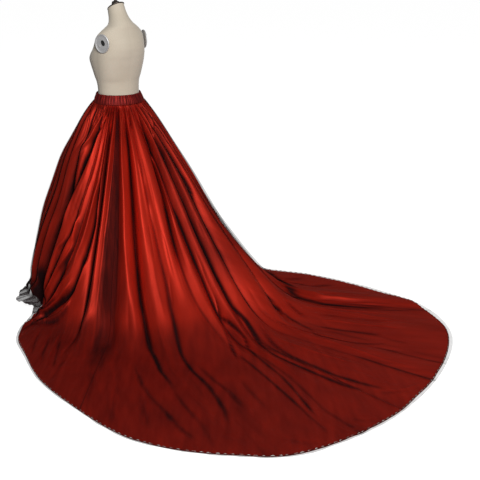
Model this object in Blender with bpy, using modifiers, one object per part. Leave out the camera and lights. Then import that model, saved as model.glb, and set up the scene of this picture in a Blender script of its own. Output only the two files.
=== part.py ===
"""Floor-length gathered satin skirt with a long train and a sheer tulle
overlay, standing on a limbless dress form.

Metres, +Z up.  The wearer's front is at -Y, the train runs to +Y and the
wearer's left is +X.  The origin is the middle of the stand's base, on the
floor.  A bearing is an angle round the waist axis in degrees: 0 is the front,
90 the wearer's left, 180 the centre back.
"""
import math

import bmesh
import bpy
import numpy as np

# ---------------------------------------------------------------- named sizes
WAIST_Z = 1.036          # lower edge of the waistband
BAND_HEIGHT = 0.046      # elastic casing
BAND_TILT = 0.005        # the band rides higher at the front left
BAND_TILT_BEARING = 30.0
BAND_TOP_HALF_WIDTH, BAND_TOP_HALF_DEPTH = 0.1255, 0.0945
WAIST_HALF_WIDTH, WAIST_HALF_DEPTH = 0.142, 0.110    # where the cloth leaves it
BAND_WALL = 0.0045       # elastic between two gathered layers
BAND_SHIRRS = 24         # gathers round the casing
BAND_SHIRR_DEPTH = 0.0022

SATIN = 0.0012           # wall of the satin panels
TULLE = 0.0010           # wall of the tulle panels
TULLE_CLEAR = 0.0022     # air between satin and tulle
SEAM_GAP = 0.0003        # between neighbouring pieces
TULLE_STAND_OFF = 0.009  # the stiffer net bridges the hollow of the train
TOUCH_ROUNDING = 0.09    # how softly the cloth turns on to the floor
SWEPT_ROUNDING = 0.12    # softer still where it is swept back into the train
HEM_LIFT = 0.064         # the front left hem is caught up off the floor
HEM_PULL, HEM_TUCK = 0.026, 0.034    # and drawn in, most of all where it ends
DRAWN_IN = (
    # bearing, bearing_spread, down, down_spread, depth: drawn in below the hips
    (66, 22, .50, .24, .026), (214, 16, .62, .38, .020),
)

# Plan of the skirt: where the cloth reaches the floor, where its hem lies, and
# how far its fall is swept back into the train (0 a bell, 1 a full sweep).
PLAN = (
    # bearing, touch, hem, sweep
    (0, .560, .570, .00), (25, .552, .562, .00), (50, .540, .552, .00),
    (75, .545, .590, .12), (90, .570, .680, .30), (101, .600, .850, .45),
    (110, .640, .970, .58), (120, .690, 1.170, .70), (130, .740, 1.385, .80),
    (140, .790, 1.660, .88), (150, .850, 1.835, .95), (160, .910, 1.955, 1.0),
    (170, .960, 1.942, 1.0), (180, .980, 1.900, 1.0), (190, .970, 1.850, 1.0),
    (200, .940, 1.790, 1.0), (210, .890, 1.640, 1.0), (220, .840, 1.340, 1.0),
    (230, .790, 1.050, .95), (240, .730, .800, .80), (250, .660, .700, .55),
    (270, .570, .600, .20), (300, .545, .555, .00), (330, .555, .565, .00),
)

# Side view of the fall: the share of the way from waist to floor touch that
# the cloth has gone out at each height.
FALL = (
    # height, bell, sweep
    (1.036, .000, .000), (.986, .100, .052), (.906, .215, .125),
    (.827, .330, .186), (.743, .445, .255), (.586, .590, .386),
    (.465, .698, .479), (.368, .768, .568), (.282, .822, .655),
    (.159, .905, .785), (.077, .955, .885), (.030, .983, .950),
    (.000, 1.00, 1.00),
)

# Folds that show, from the front left round to the far side of the train.
# Bearings at seven distances down the cloth, and how far the fold stands out
# (+) or in (-) of the mean surface in millimetres at five of them.
FOLD_AT = (0.0, 0.25, 0.60, 0.95, 1.15, 1.45, 2.10)
DEPTH_AT = (0.25, 0.60, 0.95, 1.15, 1.45)
FOLDS = (
    # name, waist, hip, thigh, shin, floor, train, end, d_hip, d_thigh, d_shin, d_floor, d_train
    ("front_left_roll", 66, 65, 63.5, 63, 62, 62, 62, 9, 15, 18, 12, 0),
    ("front_left_dip", 72, 72, 70.5, 69.5, 69, 69, 69, -8, -13, -14, -6, 0),
    ("left_roll", 80, 79, 77.5, 76, 75, 75, 75, 8, 13, 14, 8, 0),
    ("left_hollow", 92, 90, 87, 81.5, 79, 79, 79, -16, -34, -34, -12, 0),
    ("hip_roll", 104, 96.5, 89.2, 83.2, 80.8, 81, 81, 12, -26, -28, -10, 0),
    ("hip_crease", 111, 104, 92, 85, 82.5, 83, 83, -18, -26, -22, -8, 0),
    ("swag_1", 114, 108.5, 95, 86.8, 84.2, 85, 85, 10, 17, 12, 7, 2),
    ("swag_1_dip", 116, 112.5, 103, 89, 86, 87, 87, -3, -9, -14, -7, 0),
    ("swag_2", 118, 115, 106, 91.5, 88, 89, 89, 3, 8, 12, 9, 2),
    ("swag_2_dip", 120, 117.5, 110, 97.5, 90.2, 92, 92, -3, -8, -14, -8, 0),
    ("swag_3", 122, 120.5, 116, 105, 92.5, 95, 95, 6, 11, 16, 11, 2),
    ("swag_3_dip", 123.6, 122, 119.3, 111, 95, 99, 99, -4, -12, -20, -11, 0),
    ("swag_4", 124.6, 122.6, 120.4, 114.5, 100, 104, 104, 1, 3, 8, 8, 2),
    ("left_pinch", 127.6, 125, 123, 120.5, 119.8, 120, 121, -7, -11, -12, -10, -1),
    ("left_pipe", 131.4, 128.8, 126.4, 124.2, 122.6, 123, 124, 14, 19, 20, 20, 2),
    ("stripe_edge", 133.5, 132.4, 130.2, 128.4, 128.2, 129.2, 128, 2, -3, -6, -8, -4),
    ("stripe_hollow", 137, 136.3, 134.6, 133, 132.6, 131.6, 131, -17, -20, -22, -26, -8),
    ("back_left_pipe", 141, 140.5, 140.4, 140.6, 140, 138, 137, 17, 21, 22, 20, 5),
    ("deep_hollow", 149, 148.3, 146, 145.1, 146, 147, 150, -22, -28, -28, -26, -10),
    ("broad_roll", 152.5, 152.6, 151.2, 151, 151, 151, 152.5, 10, 17, 18, 16, 5),
    ("broad_dip", 157.5, 158, 157, 157, 156, 154.3, 155, -3, -3, -6, -8, -6),
    ("broad_roll_2", 163, 163.5, 162, 161.5, 161, 160.5, 160, 6, 8, 8, 8, 4),
    ("back_crease", 173, 172.8, 168, 165, 165.3, 167, 164.5, -21, -12, -4, -2, -3),
    ("back_rib", 174.5, 173.7, 170.3, 169, 169, 169.2, 166, -8, 4, 10, 10, 4),
    ("back_crease_2", 176, 174.8, 172.5, 172, 171.5, 171.4, 167.5, -14, -9, -10, -12, -8),
    ("centre_roll", 180, 179, 177.5, 176, 175, 173.4, 171, 15, 17, 14, 13, 11),
    ("centre_hollow", 184.5, 184, 181.5, 179.4, 177.7, 175.4, 175.5, -20, -26, -28, -30, -16),
    ("train_roll", 188, 188, 186, 184, 182.3, 180.5, 180, 13, 17, 16, 16, 13),
    ("train_hollow", 195, 196.5, 193.2, 187.3, 185.7, 184.5, 185, -12, -19, -20, -18, -6),
    ("train_roll_2", 200, 201, 198.5, 195.5, 193.5, 188.5, 188, 14, 21, 24, 22, 11),
    ("train_hollow_2", 205, 205, 203, 201.8, 200.6, 192.7, 192, -10, -14, -16, -20, -10),
    ("train_roll_3", 209.5, 209, 208.3, 207.5, 206.5, 203, 202, 13, 19, 22, 22, 14),
    ("far_hollow", 214, 215, 216.5, 217, 215.5, 209.5, 209.5, -10, -12, -14, -14, -12),
    ("far_rib", 219, 221, 223.5, 224.5, 222, 214, 212.8, 10, 13, 13, 14, 20),
    ("far_dip", 225, 227.5, 231, 233, 230, 221, 217.5, -12, -14, -14, -12, -3),
)
# The sides that are turned away get like folds, unevenly spaced by a rule.
PLAIN_FOLDS = 26
PLAIN_FROM, PLAIN_TO = 233.0, 421.0

# Shares of each fold line's length where the loft has a section.
SECTIONS_DOWN = (0, .05, .13, .23, .34, .44, .52, .59, .66, .73, .82, .91, 1)

# Tulle beyond the satin hem: how far it reaches and how high its edge stands.
TULLE_HEM = (
    # bearing, reach, rise
    (0, .018, .001), (35, .022, .003), (50, .022, .034), (58, .034, .038),
    (66, .064, .042), (72, .080, .038), (78, .074, .034), (83, .038, .024), (88, .018, .006), (95, .016, .001),
    (160, .020, .001), (200, .024, .001), (240, .024, .001), (300, .018, .001),
)

# Seams run down fold lines: the last fold of each panel, going round.
SATIN_SEAMS = (
    # panel, from fold, to fold
    ("satin_side_left", "front_left_dip", "stripe_hollow"),
    ("satin_train_left", "stripe_hollow", "centre_hollow"),
    ("satin_train_right", "centre_hollow", "far_dip"),
    ("satin_side_right", "far_dip", "plain_12"),
    ("satin_front", "plain_12", "front_left_dip"),
)
TULLE_SEAMS = (
    ("tulle_left", "left_hollow", "train_hollow"),
    ("tulle_right", "train_hollow", "plain_10"),
    ("tulle_front", "plain_10", "left_hollow"),
)

# Dress form, section by section from the hips to the neck.
TORSO = (
    # height, half_width, front, back, middle_y, squareness
    (.812, .128, .090, .098, .000, 2.1), (.822, .147, .103, .112, .000, 2.1),
    (.845, .162, .114, .124, .000, 2.1), (.880, .166, .117, .127, .000, 2.1),
    (.920, .158, .112, .119, .000, 2.1), (.960, .143, .102, .106, .000, 2.0),
    (1.000, .127, .092, .094, .000, 2.0), (1.035, .119, .0875, .088, .000, 2.0),
    (1.075, .1165, .0860, .0865, .000, 2.0), (1.110, .1175, .0865, .0870, .000, 2.0),
    (1.140, .1210, .0920, .0880, .000, 2.0), (1.170, .1275, .1010, .0900, .002, 2.2),
    (1.200, .1340, .1110, .0930, .004, 2.3), (1.230, .1390, .1210, .0980, .005, 2.4),
    (1.258, .1415, .1280, .1020, .006, 2.5), (1.280, .1420, .1180, .1050, .008, 2.5),
    (1.305, .1410, .0980, .1060, .011, 2.4), (1.335, .1400, .0800, .1010, .015, 2.3),
    (1.362, .1400, .0680, .0900, .019, 2.2), (1.382, .1340, .0600, .0790, .024, 2.1),
    (1.400, .1180, .0540, .0700, .029, 2.0), (1.416, .0950, .0500, .0660, .031, 2.0),
    (1.434, .0680, .0440, .0590, .029, 2.0), (1.457, .0540, .0415, .0485, .022, 2.0),
    (1.486, .0462, .0400, .0425, .012, 2.0), (1.513, .0432, .0390, .0390, .005, 2.0),
)
TORSO_SIDES = 44
NECK_TILT = 0.54         # rise of the neck's cut per metre from front to back
NECK_TILT_FROM = 1.36
NECK_CAP_WALL = 0.006
FINIAL_RADIUS, FINIAL_BALL, FINIAL_LENGTH = 0.0065, 0.014, 0.040
PLATE_OUT, PLATE_ALONG, PLATE_Z = 0.1450, 0.002, 1.345    # clear of the widest chest section
PLATE_TURN = 20.0        # the arm holes face a little to the back
PLATE_HALF_WIDTH, PLATE_HALF_HEIGHT, PLATE_WALL = 0.040, 0.047, 0.005
POLE_RADIUS = 0.014
BASE_RADIUS, BASE_HEIGHT = 0.165, 0.014
COLLAR_RADIUS, COLLAR_HEIGHT = 0.026, 0.030

COLOURS = {
    # slot: red, green, blue, roughness, metallic
    "satin": (.42, .018, .010, .38, 0.0), "tulle": (.030, .028, .030, .80, 0.0),
    "band": (.30, .012, .012, .50, 0.0), "cover": (.60, .52, .41, .85, 0.0),
    "cap": (.06, .055, .05, .40, .6), "plate": (.55, .55, .56, .30, .9),
    "stand": (.50, .50, .52, .28, .9),
}


# ------------------------------------------------------------------- helpers
def smooth_curve(x, y, at):
    """Monotone cubic through the points (x, y), read at 'at'."""
    x, y, at = np.asarray(x, float), np.asarray(y, float), np.asarray(at, float)
    step, slope = np.diff(x), np.diff(y) / np.diff(x)
    tangent = np.zeros_like(y)
    for i in range(1, len(x) - 1):
        if slope[i - 1] * slope[i] > 0:
            a, b = 2 * step[i] + step[i - 1], step[i] + 2 * step[i - 1]
            tangent[i] = (a + b) / (a / slope[i - 1] + b / slope[i])
    tangent[0], tangent[-1] = slope[0], slope[-1]
    at = np.clip(at, x[0], x[-1])
    k = np.clip(np.searchsorted(x, at) - 1, 0, len(x) - 2)
    t = (at - x[k]) / step[k]
    return ((2 * t**3 - 3 * t**2 + 1) * y[k] + (t**3 - 2 * t**2 + t) * step[k] * tangent[k]
            + (3 * t**2 - 2 * t**3) * y[k + 1] + (t**3 - t**2) * step[k] * tangent[k + 1])


def round_the_skirt(table, column, bearing):
    """A column of a table of bearings, read all the way round."""
    rows = np.array([r[:] for r in table], float)
    x = np.concatenate([rows[-3:, 0] - 360, rows[:, 0], rows[:3, 0] + 360])
    y = np.concatenate([rows[-3:, column], rows[:, column], rows[:3, column]])
    return smooth_curve(x, y, np.mod(bearing, 360.0))


def ellipse_radius(bearing, half_width, half_depth):
    t = np.radians(bearing)
    return half_width * half_depth / np.sqrt((half_depth * np.sin(t))**2 + (half_width * np.cos(t))**2)


SAMPLES = 241


def fall_line(bearing):
    """Radius and height at SAMPLES even steps from waist to hem."""
    start = float(ellipse_radius(bearing, WAIST_HALF_WIDTH, WAIST_HALF_DEPTH))
    touch, hem, sweep = (float(round_the_skirt(PLAN, c, bearing)) for c in (1, 2, 3))
    fall = np.array(FALL)
    z = np.linspace(WAIST_Z, 0, 160)
    out = (1 - sweep) * smooth_curve(-fall[:, 0], fall[:, 1], -z) + sweep * smooth_curve(-fall[:, 0], fall[:, 2], -z)
    r = np.concatenate([start + (touch - start) * out, np.linspace(touch, hem, 80)[1:]])
    z = np.concatenate([z, np.zeros(79)])
    for _ in range(3):
        s = np.concatenate([[0], np.cumsum(np.hypot(np.diff(r), np.diff(z)))])
        even = np.linspace(0, s[-1], SAMPLES)
        r, z = np.interp(even, s, r), np.interp(even, s, z)
        if _ == 2:
            break
        reach = max(1, int((TOUCH_ROUNDING + SWEPT_ROUNDING * sweep) * (SAMPLES - 1) / s[-1] / 2))
        sum_r, sum_z = (np.concatenate([[0], np.cumsum(q)]) for q in (r, z))
        i = np.arange(SAMPLES)
        k = np.minimum(np.minimum(i, SAMPLES - 1 - i), reach)
        r = (sum_r[i + k + 1] - sum_r[i - k]) / (2 * k + 1)
        z = (sum_z[i + k + 1] - sum_z[i - k]) / (2 * k + 1)
    return s[-1], r, z


FALL_LINES = [fall_line(b) for b in range(361)]
LENGTHS = np.array([f[0] for f in FALL_LINES])
RADII = np.array([f[1] for f in FALL_LINES])
HEIGHTS = np.array([f[2] for f in FALL_LINES])


def length_at(bearing):
    return np.interp(np.mod(bearing, 360.0), np.arange(361), LENGTHS)


def mean_surface(bearing, down):
    """Point of the unfolded skirt at a bearing, 'down' metres from the waist."""
    bearing, down = np.broadcast_arrays(np.asarray(bearing, float), np.asarray(down, float))
    turn = np.mod(bearing, 360.0)
    b0 = np.minimum(turn.astype(int), 359)
    tb = turn - b0
    full = length_at(bearing)
    share = np.clip(down / full, 0, 1) * (SAMPLES - 1)
    k = np.minimum(share.astype(int), SAMPLES - 2)
    tk = share - k

    def read(grid):
        return ((grid[b0, k] * (1 - tk) + grid[b0, k + 1] * tk) * (1 - tb)
                + (grid[b0 + 1, k] * (1 - tk) + grid[b0 + 1, k + 1] * tk) * tb)
    r = read(RADII) + np.maximum(down - full, 0)
    tilt = BAND_TILT * np.cos(np.radians(bearing - BAND_TILT_BEARING)) * np.clip(1 - down / 0.5, 0, 1)
    t = np.radians(bearing)
    return np.stack([r * np.sin(t), -r * np.cos(t), read(HEIGHTS) + tilt], -1)


def outward(bearing, down):
    """Unit normal of the unfolded skirt, pointing out and up."""
    across = mean_surface(bearing + 1.5, down) - mean_surface(bearing - 1.5, down)
    along = mean_surface(bearing, down + 0.02) - mean_surface(bearing, np.maximum(down - 0.02, 0))
    n = np.cross(along, across)
    return n / np.linalg.norm(n, axis=-1, keepdims=True)


def ease(t):
    t = np.clip(t, 0, 1)
    return t * t * (3 - 2 * t)


def drawn_in(bearing, down):
    turn = np.mod(bearing, 360.0)
    return sum(deep * np.exp(-((turn - at) / wide)**2) * np.exp(-((down - low) / tall)**2)
               for at, wide, low, tall, deep in DRAWN_IN)


def caught_up(bearing, down):
    """How far the front left hem is drawn in, and how far it is lifted."""
    turn, left = np.mod(bearing, 360.0), length_at(bearing) - down
    lip = round_the_skirt(PLAN, 2, bearing) - round_the_skirt(PLAN, 1, bearing)
    held = ease((turn - 40) / 20) * ease((87 - turn) / 7) * (0.62 + 0.38 * ease((turn - 58) / 16))
    hang = np.maximum(lip - left, 0)               # what would lie on the floor hangs down instead
    pull = HEM_PULL * ease((turn - 12) / 28) + HEM_TUCK * ease((turn - 72) / 10)
    pull = pull * ease((95 - turn) / 9) * ease(1 - left / 0.30) + 0.6 * hang * held
    return pull, held * (HEM_LIFT * ease(1 - (left - lip) / 0.22) - 0.6 * hang)


# -------------------------------------------------------------- fold lines
def fold_lines():
    """Every fold line going round: name, bearing(down), stand-out(down)."""
    lines = []
    for row in FOLDS:
        name, bearings, depths = row[0], row[1:8], row[8:13]
        sign = 1 if depths[0] + depths[1] > 0 else -1
        lines.append((name, FOLD_AT, bearings, (0.0,) + DEPTH_AT + (2.1,),
                      (1.5 * sign,) + depths + (0.45 * depths[-1],)))
    gaps = [1 + 0.24 * math.sin(2.1 * k + 0.4) + 0.16 * math.sin(3.7 * k) for k in range(PLAIN_FOLDS - 1)]
    step, at = (PLAIN_TO - PLAIN_FROM) / sum(gaps), PLAIN_FROM
    for k in range(PLAIN_FOLDS):
        sign = 1 if k % 2 == 0 else -1
        size = 16 + 4 * math.sin(1.7 * k + 1) + 2.5 * math.sin(4.3 * k)
        waist = at - 3.0 * math.sin(0.9 * k)
        low = at + 2.0 * math.sin(1.3 * k + 2)
        back = max(0.0, 1 - k / 4.0)           # the first few lie on the train's far edge
        lines.append((f"plain_{k + 1}", FOLD_AT,
                      (waist, at - 1.5 * math.sin(0.9 * k), at + 3 * back, low + 5 * back, low + 7 * back, low, low),
                      (0.0,) + DEPTH_AT + (2.1,),
                      (1.5 * sign, .6 * size * sign, size * sign, 1.1 * size * sign, .6 * size * sign, 0, 0)))
        at += step * (gaps[k] if k < PLAIN_FOLDS - 1 else 0)
    return lines


LINES = fold_lines()
NAMES = [l[0] for l in LINES]


def line_down(line, share):
    """Distance down the cloth at a share of this fold line's own length."""
    low, high = 0.0, 3.0
    for _ in range(40):
        mid = (low + high) / 2
        if mid < share * float(length_at(float(smooth_curve(line[1], line[2], mid)))):
            low = mid
        else:
            high = mid
    return (low + high) / 2


def columns():
    """Grid columns: each fold line, and a halfway one where two lie far apart."""
    cols = []
    for i, line in enumerate(LINES):
        nxt = LINES[(i + 1) % len(LINES)]
        turn = 360.0 if i + 1 == len(LINES) else 0.0
        cols.append(("line", line[0], line, None, 0.0))
        wide = (nxt[2][3] + turn) - line[2][3]
        if not line[0].startswith("plain") and wide > 5.0:
            cols.append(("between", None, line, nxt, turn))
    return cols


COLS = columns()


def column_points(col):
    kind, _, line, nxt, turn = col
    b, d, s = [], [], []
    for share in SECTIONS_DOWN:
        down = line_down(line, share)
        bear = float(smooth_curve(line[1], line[2], down))
        out = float(smooth_curve(line[3], line[4], down))
        if kind == "between":
            down2 = line_down(nxt, share)
            bear = (bear + float(smooth_curve(nxt[1], nxt[2], down2)) + turn) / 2
            out = (out + float(smooth_curve(nxt[3], nxt[4], down2))) / 2
            down = share * float(length_at(bear))
        b.append(bear), d.append(out / 1000.0), s.append(down)
    return np.array(b), np.array(d), np.array(s)


def cloth_grid():
    """Outer face of the satin: points, unit normals, bearings, distances."""
    data = [column_points(c) for c in COLS]
    bearing, stand, down = (np.stack([d[i] for d in data]) for i in range(3))
    p = mean_surface(bearing, down) + outward(bearing, down) * (stand - drawn_in(bearing, down))[..., None]
    pull, lift = caught_up(bearing, down)
    turn = np.radians(bearing)
    p = p + np.stack([-pull * np.sin(turn), pull * np.cos(turn), lift], -1)
    p[..., 2] = np.maximum(p[..., 2], SATIN)
    return p, grid_normals(p), bearing, down


def grid_normals(p):
    """Normals of a grid that is closed round its first index."""
    across = np.roll(p, -1, 0) - np.roll(p, 1, 0)
    along = np.empty_like(p)
    along[:, 1:-1] = p[:, 2:] - p[:, :-2]
    along[:, 0], along[:, -1] = p[:, 1] - p[:, 0], p[:, -1] - p[:, -2]
    n = np.cross(along, across)
    return n / np.linalg.norm(n, axis=-1, keepdims=True)


# ---------------------------------------------------------------- materials
def material(name, key):
    r, g, b, rough, metal = COLOURS[key]
    mat = bpy.data.materials.new(name)
    mat.use_nodes = True
    shader = mat.node_tree.nodes["Principled BSDF"]
    shader.inputs["Base Color"].default_value = (r, g, b, 1.0)
    shader.inputs["Roughness"].default_value = rough
    shader.inputs["Metallic"].default_value = metal
    return mat


def place(name, mesh, key):
    ob = bpy.data.objects.new(name, mesh)
    ob.data.materials.append(material(name + "_material", key))
    skirt.objects.link(ob)
    return ob


def wall(name, outer, inner, key, closed=False):
    """A cloth wall lofted between sections: outer and inner grids [across, down]."""
    bm = bmesh.new()
    n, m = outer.shape[:2]
    front = [[bm.verts.new(outer[i, j]) for j in range(m)] for i in range(n)]
    back = [[bm.verts.new(inner[i, j]) for j in range(m)] for i in range(n)]
    for i in range(n if closed else n - 1):
        k = (i + 1) % n
        for j in range(m - 1):
            bm.faces.new((front[i][j], front[i][j + 1], front[k][j + 1], front[k][j]))
            bm.faces.new((back[i][j], back[k][j], back[k][j + 1], back[i][j + 1]))
        bm.faces.new((front[i][0], front[k][0], back[k][0], back[i][0]))
        bm.faces.new((front[i][-1], back[i][-1], back[k][-1], front[k][-1]))
    if not closed:
        for j in range(m - 1):
            bm.faces.new((front[0][j], back[0][j], back[0][j + 1], front[0][j + 1]))
            bm.faces.new((front[-1][j], front[-1][j + 1], back[-1][j + 1], back[-1][j]))
    bmesh.ops.triangulate(bm, faces=bm.faces[:], quad_method="FIXED")
    bmesh.ops.recalc_face_normals(bm, faces=bm.faces[:])
    mesh = bpy.data.meshes.new(name)
    bm.to_mesh(mesh)
    bm.free()
    mesh.shade_smooth()
    mesh.set_sharp_from_angle(angle=math.radians(50))
    return place(name, mesh, key)


def panel_columns(first, last):
    """Indexes of the columns from one fold line round to another, inclusive."""
    names = [c[1] for c in COLS]
    i, stop = names.index(first), names.index(last)
    picked = [i]
    while i != stop:
        i = (i + 1) % len(COLS)
        picked.append(i)
    return picked


def part_at_seams(grid, full, picked):
    """Draw a panel's two edges in by half the seam gap."""
    out = grid[picked].copy()
    for end, step in ((0, 1), (-1, -1)):
        i = picked[end]
        toward = full[(i + step) % len(full)] - full[(i - step) % len(full)]
        toward = toward / np.linalg.norm(toward, axis=-1, keepdims=True)
        out[end] = out[end] + toward * SEAM_GAP / 2
    return out


# ---------------------------------------------------------------------- build
for ob in list(bpy.data.objects):
    bpy.data.objects.remove(ob, do_unlink=True)
skirt = bpy.data.collections.new("train_skirt_on_dress_form")
bpy.context.scene.collection.children.link(skirt)

POINTS, NORMALS, BEARING, DOWN = cloth_grid()
TOP_EDGE = WAIST_Z + BAND_TILT * np.cos(np.radians(BEARING[:, 0] - BAND_TILT_BEARING)) - SEAM_GAP
POINTS[:, 0, 2] = TOP_EDGE            # clear of the waistband's lower edge
SATIN_INNER = POINTS - NORMALS * SATIN
SATIN_INNER[:, 0, 2] = TOP_EDGE

for name, first, last in SATIN_SEAMS:
    picked = panel_columns(first, last)
    wall(name, part_at_seams(POINTS, POINTS, picked), part_at_seams(SATIN_INNER, POINTS, picked), "satin")

# Tulle: the same sections moved out, then two more sections past the hem.
bridge = (np.exp(-((BEARING - 224) / 26.0)**2) * np.exp(-((DOWN - 0.82) / 0.34)**2))
lift = TULLE_CLEAR + TULLE_STAND_OFF * bridge
TULLE_IN = POINTS + NORMALS * lift[..., None]
TULLE_OUT = POINTS + NORMALS * (lift + TULLE)[..., None]
TULLE_IN[:, 0, 2] = TULLE_OUT[:, 0, 2] = TOP_EDGE
edge_bearing, edge_down = BEARING[:, -1], DOWN[:, -1]
reach, rise = (round_the_skirt(TULLE_HEM, c, edge_bearing) for c in (1, 2))
radial = np.stack([np.sin(np.radians(edge_bearing)), -np.cos(np.radians(edge_bearing)), 0 * edge_bearing], -1)
extra_in, extra_out = [], []
for share in (0.35, 1.0):
    base = TULLE_IN[:, -1] + radial * (reach * share)[:, None]
    base[:, 2] = TULLE_IN[:, -1, 2] * (1 - share) + (0.0006 + rise) * share
    extra_in.append(base)
    extra_out.append(base + np.array([0, 0, TULLE]))
TULLE_IN = np.concatenate([TULLE_IN, np.stack(extra_in, 1)], 1)
TULLE_OUT = np.concatenate([TULLE_OUT, np.stack(extra_out, 1)], 1)
for name, first, last in TULLE_SEAMS:
    picked = panel_columns(first, last)
    wall(name, part_at_seams(TULLE_OUT, TULLE_IN, picked), part_at_seams(TULLE_IN, TULLE_IN, picked), "tulle")

# Waistband: an elastic casing, shirred on its outer face.
ring = np.arange(2 * BAND_SHIRRS) * 360.0 / (2 * BAND_SHIRRS)
outer, inner = [], []
for k, b in enumerate(ring):
    tilt = BAND_TILT * math.cos(math.radians(b - BAND_TILT_BEARING))
    shirr = BAND_SHIRR_DEPTH * (0.5 if k % 2 else -0.5)
    direction = np.array([math.sin(math.radians(b)), -math.cos(math.radians(b)), 0.0])
    column_out, column_in = [], []
    for share, puff in ((1.0, -0.0004), (0.80, 0.0014), (0.35, 0.0010), (0.0, 0.0024)):
        wide = WAIST_HALF_WIDTH + (BAND_TOP_HALF_WIDTH - WAIST_HALF_WIDTH) * share
        deep = WAIST_HALF_DEPTH + (BAND_TOP_HALF_DEPTH - WAIST_HALF_DEPTH) * share
        r = float(ellipse_radius(b, wide, deep))
        z = np.array([0, 0, WAIST_Z + tilt + SEAM_GAP + BAND_HEIGHT * share])
        column_out.append(direction * (r + puff + shirr) + z)
        column_in.append(direction * (r - BAND_WALL) + z)
    outer.append(column_out), inner.append(column_in)
wall("waistband", np.array(outer), np.array(inner), "band", closed=True)


# ----------------------------------------------------------------- dress form
def superellipse(angle, half_width, front, back, square):
    c, s = math.cos(angle), math.sin(angle)
    x = half_width * math.copysign(abs(c)**(2 / square), c)
    y = (back if s > 0 else front) * math.copysign(abs(s)**(2 / square), s)
    return x, y


def lofted(name, rings, key):
    """A closed body lofted through rings of equal count, capped at both ends."""
    bm = bmesh.new()
    loops = [[bm.verts.new(v) for v in ring] for ring in rings]
    for a, b in zip(loops, loops[1:]):
        for i in range(len(a)):
            k = (i + 1) % len(a)
            bm.faces.new((a[i], a[k], b[k], b[i]))
    bm.faces.new(loops[0][::-1])
    bm.faces.new(loops[-1])
    bmesh.ops.recalc_face_normals(bm, faces=bm.faces[:])
    mesh = bpy.data.meshes.new(name)
    bm.to_mesh(mesh)
    bm.free()
    mesh.shade_smooth()
    mesh.set_sharp_from_angle(angle=math.radians(40))
    return place(name, mesh, key)


def torso_ring(row, grow=0.0, up=0.0):
    z, half, front, back, mid, square = row
    ring = []
    for i in range(TORSO_SIDES):
        x, y = superellipse(2 * math.pi * i / TORSO_SIDES, half + grow, front + grow, back + grow, square)
        tilt = NECK_TILT * min(1.0, max(0.0, (z - NECK_TILT_FROM) / (TORSO[-1][0] - NECK_TILT_FROM)))**1.5
        ring.append((x, y + mid, z + tilt * y + up))
    return ring


lofted("form_torso", [torso_ring(r) for r in TORSO], "cover")
top = TORSO[-1]
cap_top = NECK_CAP_WALL
cap_pad = top[0] + SEAM_GAP + cap_top + 0.020        # a small level pad for the finial


def pad_ring(radius, height):
    return [(radius * math.cos(2 * math.pi * i / TORSO_SIDES), top[4] + radius * math.sin(2 * math.pi * i / TORSO_SIDES), height)
            for i in range(TORSO_SIDES)]


lofted("form_neck_cap", [torso_ring(top, -0.0002, SEAM_GAP), torso_ring(top, 0.0012, SEAM_GAP + 0.0012),
                         torso_ring(top, 0.0008, SEAM_GAP + cap_top), torso_ring(top, -0.008, SEAM_GAP + cap_top + 0.004),
                         pad_ring(0.017, cap_pad - 0.002), pad_ring(0.015, cap_pad)], "cap")


def turned(name, profile, key, steps, x=0.0, y=0.0):
    """A turned piece: a profile of (radius, height) spun round +Z."""
    bm = bmesh.new()
    verts = [bm.verts.new((r, 0.0, z)) for r, z in profile]
    for a, b in zip(verts, verts[1:]):
        bm.edges.new((a, b))
    mesh = bpy.data.meshes.new(name)
    bm.to_mesh(mesh)
    bm.free()
    ob = place(name, mesh, key)
    ob.location = (x, y, 0.0)
    screw = ob.modifiers.new("spin", "SCREW")
    screw.steps = screw.render_steps = steps
    screw.use_merge_vertices = True
    screw.merge_threshold = 0.00001
    screw.use_smooth_shade = True
    return ob


foot = cap_pad + SEAM_GAP
r, b, l = FINIAL_RADIUS, FINIAL_BALL, FINIAL_LENGTH
ball = [(b * math.sin(a), foot + l + b * 0.8 - b * math.cos(a)) for a in
        (math.pi * (1 - k / 8) for k in range(0, 7))]
# the stem stands on the level pad in the middle of the sloping cap
finial_y = top[4]
turned("form_finial", [(0.0, foot + l + 1.8 * b)] + ball[1:] + [(r, foot + l), (r, foot + 0.006), (r * 1.9, foot + 0.003),
                       (r * 1.9, foot), (0.0, foot)], "cap", 20, 0.0, finial_y)

# Pole and base: the pole's head meets the torso's flat underside.
hip = TORSO[0][0]
turned("form_pole", [(0.0, hip - SEAM_GAP), (0.040, hip - SEAM_GAP), (0.040, hip - 0.008), (POLE_RADIUS, hip - 0.010),
                     (POLE_RADIUS, BASE_HEIGHT + 0.012 + SEAM_GAP), (0.0, BASE_HEIGHT + 0.012 + SEAM_GAP)], "stand", 24)
turned("form_base", [(0.0, BASE_HEIGHT + 0.012), (0.030, BASE_HEIGHT + 0.012), (0.045, BASE_HEIGHT + 0.004),
                     (BASE_RADIUS * 0.9, BASE_HEIGHT), (BASE_RADIUS - 0.003, BASE_HEIGHT * 0.6), (BASE_RADIUS, BASE_HEIGHT * 0.3),
                     (BASE_RADIUS, 0.0), (0.0, 0.0)], "stand", 48)


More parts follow.
